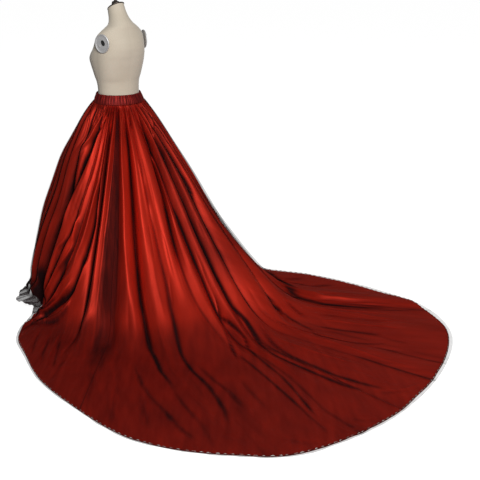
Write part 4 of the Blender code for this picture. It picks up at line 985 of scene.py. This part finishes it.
TB2, TD2 = grow(TB), np.concatenate([TD] + [TD[:, -1:] + 0.02 * k / 3 for k in (1, 2, 3)], 1)
T_NORMAL = grid_normals(T)
# net density: a base of 0.24, made denser in hollows, narrow creases and the gathers under the band; this is partly
# bunched net and partly painted shade
net = 0.24 + 0.26 * grow(T_HOLLOW)**1.2 + grow(T_NARROW) * (0.46 - 0.16 * grow(FLAT_ON_FLOOR[keep_c][:, keep_r])) + 0.16 * np.exp(-(TD2 / 0.05)**2)
net = net + grow(crease_field(NET_BUNCHES_AND_SHADE)[keep_c][:, keep_r]) * 1000.0 + 0.30 * grow(T_NARROW) * np.exp(-(TD2 / 0.12)**2)
# painted light and shade: the net is thinner over the broad back pipes, lightening them, and denser where the train
# sweeps off, darkening it
falls = ease((TD2 - 0.12) / 0.2) * ease((1.15 - TD2) / 0.3)
net = net - 0.08 * np.exp(-((TT - 151) / 13.0)**4) * falls + 0.24 * np.exp(-((TT - 182) / 10.0)**2) * falls
# painted shade: denser net high on the right fall and on the front left; painted light: thinner net on the train near
# bearing 196
net = net + 0.22 * np.exp(-((TT - 197) / 9.0)**2) * np.exp(-((TD2 - 0.24) / 0.2)**2) + 0.08 * ease((84 - TT) / 8) * ease((TT - 30) / 20)
net = net - 0.08 * np.exp(-((TT - 196) / 10.0)**2) * np.exp(-((TD2 - 1.4) / 0.14)**2)
# painted shade: denser net where the cloth lies on the floor, less of it from bearing 150 on
net = net + grow(FLAT_ON_FLOOR[keep_c][:, keep_r]) * (0.20 - 0.13 * ease((TT - 150) / 50))
# painted shade: the net is nearly opaque where the hip hollow runs out under the swags; painted light: thinner over the
# swags themselves
gap = ease((TT - 74.5) / 2.5) * ease((85.5 - TT) / 2.5) * ease((TD2 - (grow(TL) - 0.30)) / 0.12)
net = net * (1 - gap) + 0.90 * gap
net = net + np.concatenate([0.20 * flip * near_hem, np.zeros((len(flip), 3))], 1)
# painted shade: spots of denser net that dim the foot of the left pipe and darken other places on the left, back and
# right fall
for at, wide, low, tall, more in ((122.5, 3.5, 1.02, .13, .32), (139, 4, 1.00, .12, .12), (151, 4, .92, .14, .10),
                                  (205, 9, .78, .20, .15), (210, 14, .15, .13, .17), (112, 5, 1.22, .10, .08)):
    net = net + more * np.exp(-((TT - at) / wide)**2) * np.exp(-((TD2 - low) / tall)**2)
# painted light: thinner net over the hip ridge near bearing 104
net = net - 0.22 * np.exp(-((TT - 104) / 5.0)**2) * np.exp(-((TD2 - 0.73) / 0.12)**2)
net = net * (1 - grow(T_STRIPE)) + (0.70 - 0.10 * ease((TD2 - 0.85) / 0.3)) * grow(T_STRIPE)
folded = (sum(np.exp(-((TT - at) / wide)**2) for at, wide in ((67.2, .5), (71.8, .45), (75.2, .4)))
          + 0.6 * ease((65.5 - TT) / 2.5) + 0.6 * ease((TT - 78.5) / 2.0))
net = net + ease((TT - 52) / 8) * ease((90 - TT) / 4) * ease((TD2 - (grow(TL) - 0.03)) / 0.03) * (0.16 + 0.34 * np.clip(folded, 0, 1))
net = np.clip(net, 0, 0.93)
for name, first, last in TULLE_SEAMS:
    full = columns_between(first, last)
    inside = [int(np.nonzero(keep_c == c)[0][0]) for c in full if c in set(keep_c.tolist())]
    p, n = T[inside], T_NORMAL[inside]
    faces = grid_faces(*p.shape[:2])
    nn = n.reshape(-1, 3)
    ob = mesh_object(name + "_cloth", p.reshape(-1, 3), faces, TULLE_LOOK, nn[faces].reshape(-1, 3),
                     cloth_uv(p, TB2[inside], TD2[inside]).reshape(-1, 2), {"net": net[inside].ravel()})
    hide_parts(name)
    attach(ob, "root")
    one_side = area_of(ob)

# --------------------------------------------------------------- waistband
BAND_ROWS = 22
band_columns = 560
ring = np.arange(band_columns) * 360.0 / band_columns
around = np.radians(ring)
crimp = np.zeros((band_columns, BAND_ROWS))
v_line = np.linspace(0, 1, BAND_ROWS)
crimps = 60
for k in range(crimps):
    at = 360.0 * (k + rng.uniform(0.15, 0.85)) / crimps
    size, wide = rng.uniform(0.0012, 0.0027), rng.uniform(1.3, 2.6)
    sway = rng.uniform(-1.6, 1.6) * np.sin(v_line * rng.uniform(2.0, 4.0) + rng.uniform(0, 6))
    swell = 0.55 + 0.45 * np.cos((v_line - rng.uniform(0.2, 0.8)) * 3.0)
    off = np.mod(ring[:, None] - at - sway[None, :] + 180, 360) - 180
    crimp += size * swell[None, :] * np.exp(-(off / wide)**2)
crimp -= crimp.mean(0)
# stitched rows that hold the elastic, and the fold at the top
row_pull = (-0.0012 * np.exp(-((v_line - 0.80) / 0.035)**2) - 0.0014 * np.exp(-((v_line - 0.04) / 0.05)**2)
            + 0.0013 * np.exp(-((v_line - 0.45) / 0.28)**2) + 0.0004 * np.exp(-((v_line - 0.93) / 0.05)**2))
ease_ends = 1 - 0.55 * np.exp(-((v_line - 0.80) / 0.03)**2)
tilt = BAND_TILT * np.cos(np.radians(ring - BAND_TILT_BEARING))
outer, inner = [], []
for j, v in enumerate(v_line):
    wide = WAIST_HALF_WIDTH + (BAND_TOP_HALF_WIDTH - WAIST_HALF_WIDTH) * v
    deep = WAIST_HALF_DEPTH + (BAND_TOP_HALF_DEPTH - WAIST_HALF_DEPTH) * v
    r = ellipse_radius(ring, wide, deep)
    top_roll = -0.0016 * ease((v - 0.93) / 0.07)
    ro = r + crimp[:, j] * ease_ends[j] + row_pull[j] + top_roll + 0.0008
    z = WAIST_Z + tilt + 0.0003 + BAND_HEIGHT * v + (0.0012 * crimp[:, j] / 0.002) * ease((v - 0.8) / 0.2)
    outer.append(np.stack([ro * np.sin(around), -ro * np.cos(around), z], -1))
    ri = r - BAND_WALL
    inner.append(np.stack([ri * np.sin(around), -ri * np.cos(around), np.minimum(z, WAIST_Z + tilt + BAND_HEIGHT)], -1))
outer, inner = np.stack(outer, 1), np.stack(inner, 1)
# painted shade: how deep each place lies in a hollow of the band's gathers; it darkens the band's colour there
band_gather_shade = np.clip(0.5 - crimp / 0.004, 0, 1)
size = band_columns * BAND_ROWS
faces = np.concatenate([grid_faces(band_columns, BAND_ROWS, 0, True, True), grid_faces(band_columns, BAND_ROWS, size, False, True)])
i = np.arange(band_columns)
k = (i + 1) % band_columns
last = BAND_ROWS - 1
top_rim = np.stack([i * BAND_ROWS + last, k * BAND_ROWS + last, k * BAND_ROWS + last + size, i * BAND_ROWS + last + size], -1)
low_rim = np.stack([i * BAND_ROWS, i * BAND_ROWS + size, k * BAND_ROWS + size, k * BAND_ROWS], -1)
faces = np.concatenate([faces, top_rim, low_rim])
band_uv = np.stack([np.broadcast_to((ring * math.pi / 180 * 0.125)[:, None], crimp.shape),
                    np.broadcast_to((v_line * BAND_HEIGHT)[None, :], crimp.shape)], -1).reshape(-1, 2)


def band_material():
    mat, tree, shader = new_material("shirred_band", (0.30, 0.014, 0.013), 0.52, 0.5, Specular_IOR_Level=0.2)
    shader.inputs["Specular Tint"].default_value = (1.0, 0.5, 0.42, 1.0)
    uv = node(tree, "ShaderNodeUVMap", uv_map="cloth").outputs["UV"]
    deep = node(tree, "ShaderNodeAttribute", attribute_name="deep").outputs["Fac"]
    cloud = noise_node(tree, scaled(tree, uv, (130.0, 22.0, 1.0)).outputs["Vector"], 1.0, 3.0)
    mixed = math_node(tree, "ADD", deep, map_range(tree, cloud.outputs["Fac"], 0.3, 0.7, -0.25, 0.25).outputs["Result"])
    # painted shade: the colour darkens towards black in the hollows of the gathers ('deep'); the cloud adds random tone
    c = ramp(tree, mixed.outputs["Value"], ((0.10, (0.24, 0.018, 0.014)), (0.48, (0.17, 0.012, 0.011)), (0.85, (0.065, 0.005, 0.006))))
    tree.links.new(c.outputs["Color"], shader.inputs["Base Color"])
    cells = node(tree, "ShaderNodeTexVoronoi", feature="DISTANCE_TO_EDGE")
    cells.inputs["Scale"].default_value = 1.0
    tree.links.new(scaled(tree, uv, (700.0, 700.0, 1.0)).outputs["Vector"], cells.inputs["Vector"])
    lines = noise_node(tree, scaled(tree, uv, (420.0, 30.0, 1.0)).outputs["Vector"], 1.0, 2.0)
    b1 = bump(tree, cells.outputs["Distance"], 0.15, 0.0003)
    b2 = bump(tree, lines.outputs["Fac"], 0.5, 0.0012, b1)
    tree.links.new(b2.outputs["Normal"], shader.inputs["Normal"])
    return mat


band = mesh_object("waistband_cloth", np.concatenate([outer.reshape(-1, 3), inner.reshape(-1, 3)]), faces, band_material(),
                   None, np.concatenate([band_uv, band_uv]), {"deep": np.concatenate([band_gather_shade.ravel(), band_gather_shade.ravel()])})
band.data.set_sharp_from_angle(angle=math.radians(60))
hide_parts("waistband")
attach(band, "root")
round(area_of(band) / 2 / BAND_HEIGHT * 1.0, 2)

# --------------------------------------------------------------- dress form
TORSO = (
    # height, half_width, front, back, middle_y, squareness
    (.812, .128, .090, .098, .000, 2.1), (.822, .147, .103, .112, .000, 2.1),
    (.845, .162, .114, .124, .000, 2.1), (.880, .166, .117, .127, .000, 2.1),
    (.920, .158, .112, .119, .000, 2.1), (.960, .143, .102, .106, .000, 2.0),
    (1.000, .127, .092, .094, .000, 2.0), (1.035, .119, .0875, .088, .000, 2.0),
    (1.075, .1165, .0860, .0865, .000, 2.0), (1.110, .1175, .0865, .0870, .000, 2.0),
    (1.140, .1210, .0920, .0880, .000, 2.0), (1.170, .1275, .1010, .0900, .002, 2.2),
    (1.200, .1340, .1110, .0930, .004, 2.3), (1.230, .1390, .1210, .0980, .005, 2.4),
    (1.258, .1415, .1280, .1020, .006, 2.5), (1.280, .1420, .1180, .1050, .008, 2.5),
    (1.305, .1410, .0980, .1060, .011, 2.4), (1.335, .1400, .0800, .1010, .015, 2.3),
    (1.362, .1400, .0680, .0900, .019, 2.2), (1.382, .1340, .0600, .0790, .024, 2.1),
    (1.400, .1180, .0540, .0700, .029, 2.0), (1.416, .0950, .0500, .0660, .031, 2.0),
    (1.434, .0680, .0440, .0590, .029, 2.0), (1.457, .0540, .0415, .0485, .022, 2.0),
    (1.486, .0462, .0400, .0425, .012, 2.0), (1.513, .0432, .0390, .0390, .005, 2.0),
)
NECK_TILT, NECK_TILT_FROM = 0.54, 1.36
PLATE_OUT, PLATE_ALONG, PLATE_Z, PLATE_TURN = 0.1450, 0.002, 1.345, 20.0
PLATE_HALF_WIDTH, PLATE_HALF_HEIGHT, PLATE_WALL = 0.040, 0.047, 0.005


def torso_row(z):
    rows = np.array(TORSO)
    return [float(z)] + [float(smooth_curve(rows[:, 0], rows[:, c], z)) for c in range(1, 6)]


def torso_ring(row, sides, grow=0.0, up=0.0, seams=False):
    z, half, front, back, mid, square = row
    a = np.arange(sides) * 2 * math.pi / sides
    c, s = np.cos(a), np.sin(a)
    x = (half + grow) * np.sign(c) * np.abs(c)**(2 / square)
    y = np.where(s > 0, back + grow, front + grow) * np.sign(s) * np.abs(s)**(2 / square)
    if seams:                                   # cover seams: centre back, side and shaped panel seams
        dip = np.zeros(sides)
        for at, deep in ((90, .0007), (0, .0006), (180, .0006), (55, .0005), (125, .0005), (235, .0005), (305, .0005)):
            off = np.mod(np.degrees(a) - at + 180, 360) - 180
            dip += deep * np.exp(-(off / 1.6)**2)
        scale = 1 - dip / np.maximum(np.hypot(x, y), 0.02)
        x, y = x * scale, y * scale
    tilt_now = NECK_TILT * min(1.0, max(0.0, (z - NECK_TILT_FROM) / (TORSO[-1][0] - NECK_TILT_FROM)))**1.5
    return np.stack([x, y + mid, z + tilt_now * y + up], -1)


def lofted(name, rings, look, cap=True):
    rings = np.array(rings)
    n, m = rings.shape[:2]
    verts = rings.reshape(-1, 3)
    i = np.arange(n - 1)[:, None]
    j = np.arange(m)[None, :]
    k = (j + 1) % m
    faces = np.stack([i * m + j, i * m + k, (i + 1) * m + k, (i + 1) * m + j], -1).reshape(-1, 4).tolist()
    faces.append(list(range(m))[::-1])
    faces.append([(n - 1) * m + q for q in range(m)])
    ob = mesh_object(name, verts, faces, look)
    ob.data.set_sharp_from_angle(angle=math.radians(40))
    return ob


levels = np.concatenate([np.linspace(.812, 1.10, 28), np.linspace(1.106, 1.513, 74)])
torso = lofted("form_torso_cover", [torso_ring(torso_row(z), 144, 0.0, 0.0, True) for z in levels], COVER_LOOK)
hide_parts("form_torso")
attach(torso, "root")

top = TORSO[-1]
cap_box, finial_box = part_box("form_neck_cap"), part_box("form_finial")
cap_profile = ((-0.0002, .0003), (.0010, .0006), (.0014, .0014), (.0014, .0040), (.0006, .0058), (-.0015, .0072), (-.0060, .0088),
               (-.0120, .0108), (-.0200, .0142))
cap_rings = [torso_ring(top, 96, g, u) for g, u in cap_profile]
pad_z = cap_box[1].z
for radius, z in ((.0185, pad_z - .0028), (.0160, pad_z - .0008), (.0140, pad_z)):
    a = np.arange(96) * 2 * math.pi / 96
    cap_rings.append(np.stack([radius * np.cos(a), top[4] + radius * np.sin(a), np.full(96, z)], -1))
cap = lofted("form_neck_cap_turned", cap_rings, CAP_LOOK)
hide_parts("form_neck_cap")
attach(cap, "root")


def turned(name, profile, look, x, y, sides=64):
    a = np.arange(sides) * 2 * math.pi / sides
    rings = [np.stack([x + r * np.cos(a), y + r * np.sin(a), np.full(sides, z)], -1) for r, z in profile]
    return lofted(name, rings, look)


low, high = finial_box[0].z, finial_box[1].z
ball = 0.0138
finial_profile = [(.0122, low), (.0124, low + .0015), (.0110, low + .0032), (.0080, low + .0048), (.0065, low + .0075),
                  (.0062, low + .020), (.0065, low + .032), (.0090, low + .0360), (.0092, low + .0385), (.0070, low + .0400)]
centre = high - ball
for k in range(1, 13):
    t = math.pi * k / 13
    zz = centre - ball * math.cos(t)
    if zz > low + .0405:
        finial_profile.append((max(ball * math.sin(t), 0.0012), zz))
finial_profile.append((0.0008, high - 0.0001))
finial = turned("form_finial_turned", finial_profile, CAP_LOOK, 0.0, top[4])
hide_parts("form_finial")
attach(finial, "root")


def on_plate(side, out, along, up):
    """A place on an arm plate: out from its face, along it to the back, and up."""
    turn = math.radians(PLATE_TURN)
    along, up = np.broadcast_arrays(np.asarray(along, float), np.asarray(up, float))
    return np.stack([side * ((PLATE_OUT + out) * math.cos(turn) - (PLATE_ALONG + along) * math.sin(turn)),
                     (PLATE_OUT + out) * math.sin(turn) + (PLATE_ALONG + along) * math.cos(turn), PLATE_Z + up], -1)


def arm_plate(name, node_name, side):
    """A plain oval plate with a rolled edge; its screw is made below."""
    rings = []
    for shrink, out in ((0.0, .0006), (-.0004, .0024), (.0000, .0044), (-.0012, .0060), (-.0032, .0068), (-.0052, .0064),
                        (-.0070, .0050), (-.0090, .0046), (-.0160, .0048), (-.0240, .0050), (-.0320, .0051)):
        a = np.arange(72) * 2 * math.pi / 72
        a = a if side > 0 else a[::-1]
        rings.append(on_plate(side, out, (PLATE_HALF_WIDTH + shrink) * np.cos(a), (PLATE_HALF_HEIGHT + shrink) * np.sin(a)))
    ob = lofted(name, rings, PLATE_LOOK)
    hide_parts(node_name)
    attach(ob, "root")
    return ob


plate_left = arm_plate("arm_plate_left", "form_arm_plate_left", 1)
plate_right = arm_plate("arm_plate_right", "form_arm_plate_right", -1)
SLOT_LOOK = metal_material("slot_shadow", (0.02, 0.02, 0.02), 0.5, 0.2)
for side, name in ((1, "left"), (-1, "right")):
    a = np.arange(40) * 2 * math.pi / 40
    a = a if side > 0 else a[::-1]
    slot_rings = []
    for grow, out in ((.0014, .0046), (.0014, .0056), (.0004, .0061), (-.0006, .0059), (-.0020, .0058)):
        ly, lz = (.0085 + grow) * np.cos(a), (.0135 + grow) * np.sin(a)
        tilt_a = math.radians(24)
        yy = ly * math.cos(tilt_a) - lz * math.sin(tilt_a)
        zz = ly * math.sin(tilt_a) + lz * math.cos(tilt_a)
        slot_rings.append(on_plate(side, out, 0.006 + yy, 0.004 + zz))
    piece = lofted(f"arm_plate_slot_{name}", slot_rings, SLOT_LOOK)
    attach(piece, "root")
    screw = []
    for r, out in ((.0050, .0046), (.0050, .0062), (.0040, .0070), (.0020, .0072)):
        screw.append(on_plate(side, out, -0.014 + r * np.cos(a), -0.012 + r * np.sin(a)))
    piece = lofted(f"arm_plate_screw_{name}", screw, PLATE_LOOK)
    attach(piece, "root")

for name in ("form_pole", "form_base"):
    mesh = nodes[name].data
    mesh.materials.clear()
    mesh.materials.append(STAND_LOOK)

# -------------------------------------------------------------- hem stitches
hem = POINTS[:, -1]
hem_out = np.stack([np.sin(np.radians(BEARING[:, -1])), -np.cos(np.radians(BEARING[:, -1])), 0 * BEARING[:, -1]], -1)
step = np.linalg.norm(np.roll(hem, -1, 0) - hem, axis=1)
run = np.concatenate([[0], np.cumsum(step)])
total = run[-1]
count = int(total / 0.030)
verts, faces = [], []
closed = np.concatenate([hem, hem[:1]])
closed_out = np.concatenate([hem_out, hem_out[:1]])
for k in range(count):
    at = total * (k + rng.uniform(0.35, 0.65)) / count
    long = rng.uniform(0.0068, 0.0096)
    first = len(verts)
    for part_of in (-1.0, -0.4, 0.4, 1.0):
        s = (at + part_of * long) % total
        p = np.array([np.interp(s, run, closed[:, c]) for c in range(3)])
        o = np.array([np.interp(s, run, closed_out[:, c]) for c in range(3)])
        thick = 0.0015 if abs(part_of) < 0.9 else 0.0007
        middle = p - o * 0.0035 + np.array([0, 0, 0.0034 if abs(part_of) < 0.9 else 0.0022])
        middle[2] = max(middle[2], 0.0030)
        for do, dz in ((-thick, 0), (0, thick), (thick, 0), (0, -thick)):
            verts.append(middle + o * do + np.array([0, 0, dz]))
    for r in range(3):
        for c in range(4):
            d = (c + 1) % 4
            faces.append((first + r * 4 + c, first + r * 4 + d, first + (r + 1) * 4 + d, first + (r + 1) * 4 + c))
    faces.append((first + 3, first + 2, first + 1, first))
    e = first + 12
    faces.append((e, e + 1, e + 2, e + 3))
thread, tree, shader = new_material("overlock_thread", (0.62, 0.58, 0.56), 0.6)
place = node(tree, "ShaderNodeTexCoord").outputs["Object"]
tone = noise_node(tree, place, 90.0, 2.0)
c = ramp(tree, tone.outputs["Fac"], ((0.42, (0.20, 0.08, 0.07)), (0.56, (0.50, 0.48, 0.46))))
tree.links.new(c.outputs["Color"], shader.inputs["Base Color"])
twist = noise_node(tree, place, 2500.0, 1.0)
tree.links.new(bump(tree, twist.outputs["Fac"], 0.3, 0.0003).outputs["Normal"], shader.inputs["Normal"])
stitches = mesh_object("hem_overlock", verts, faces, thread)
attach(stitches, "root")

# ------------------------------------------------------------ stage and light
floor_mesh = bpy.data.meshes.new("floor")
far = 60.0
floor_mesh.from_pydata([(-far, -far, 0), (far, -far, 0), (far, far, 0), (-far, far, 0)], [], [(0, 1, 2, 3)])
floor = bpy.data.objects.new("floor", floor_mesh)
bpy.context.scene.collection.objects.link(floor)
floor_look, tree, shader = new_material("pale_floor", (0.40, 0.40, 0.40), 0.85, Emission_Strength=1.0)
shader.inputs["Specular IOR Level"].default_value = 0.0
shader.inputs["Emission Color"].default_value = (0.91, 0.91, 0.91, 1)
floor.visible_diffuse = False
floor.visible_glossy = False
floor.data.materials.append(floor_look)


def area_light(name, place, aim, size, power, colour=(1, 1, 1)):
    data = bpy.data.lights.new(name, "AREA")
    data.shape, data.size, data.size_y = "RECTANGLE", size[0], size[1]
    data.energy, data.color = power, colour
    ob = bpy.data.objects.new(name, data)
    ob.location = place
    ob.rotation_mode = "QUATERNION"
    ob.rotation_quaternion = (Vector(aim) - Vector(place)).to_track_quat("-Z", "Y")
    bpy.context.scene.collection.objects.link(ob)
    return ob


area_light("key", (3.05, 5.70, 3.90), (0, 0.4, 0.5), (2.4, 2.4), 455, (1.0, 0.985, 0.96))

world = bpy.data.worlds.new("studio")
world.use_nodes = True
tree = world.node_tree
background = tree.nodes["Background"]
background.inputs["Color"].default_value = (1, 1, 1, 1)
seen = node(tree, "ShaderNodeLightPath").outputs["Is Camera Ray"]
strength = map_range(tree, seen, 0.0, 1.0, 0.20, 1.0)
tree.links.new(strength.outputs["Result"], background.inputs["Strength"])
bpy.context.scene.world = world
bpy.context.scene.view_settings.view_transform = "Standard"
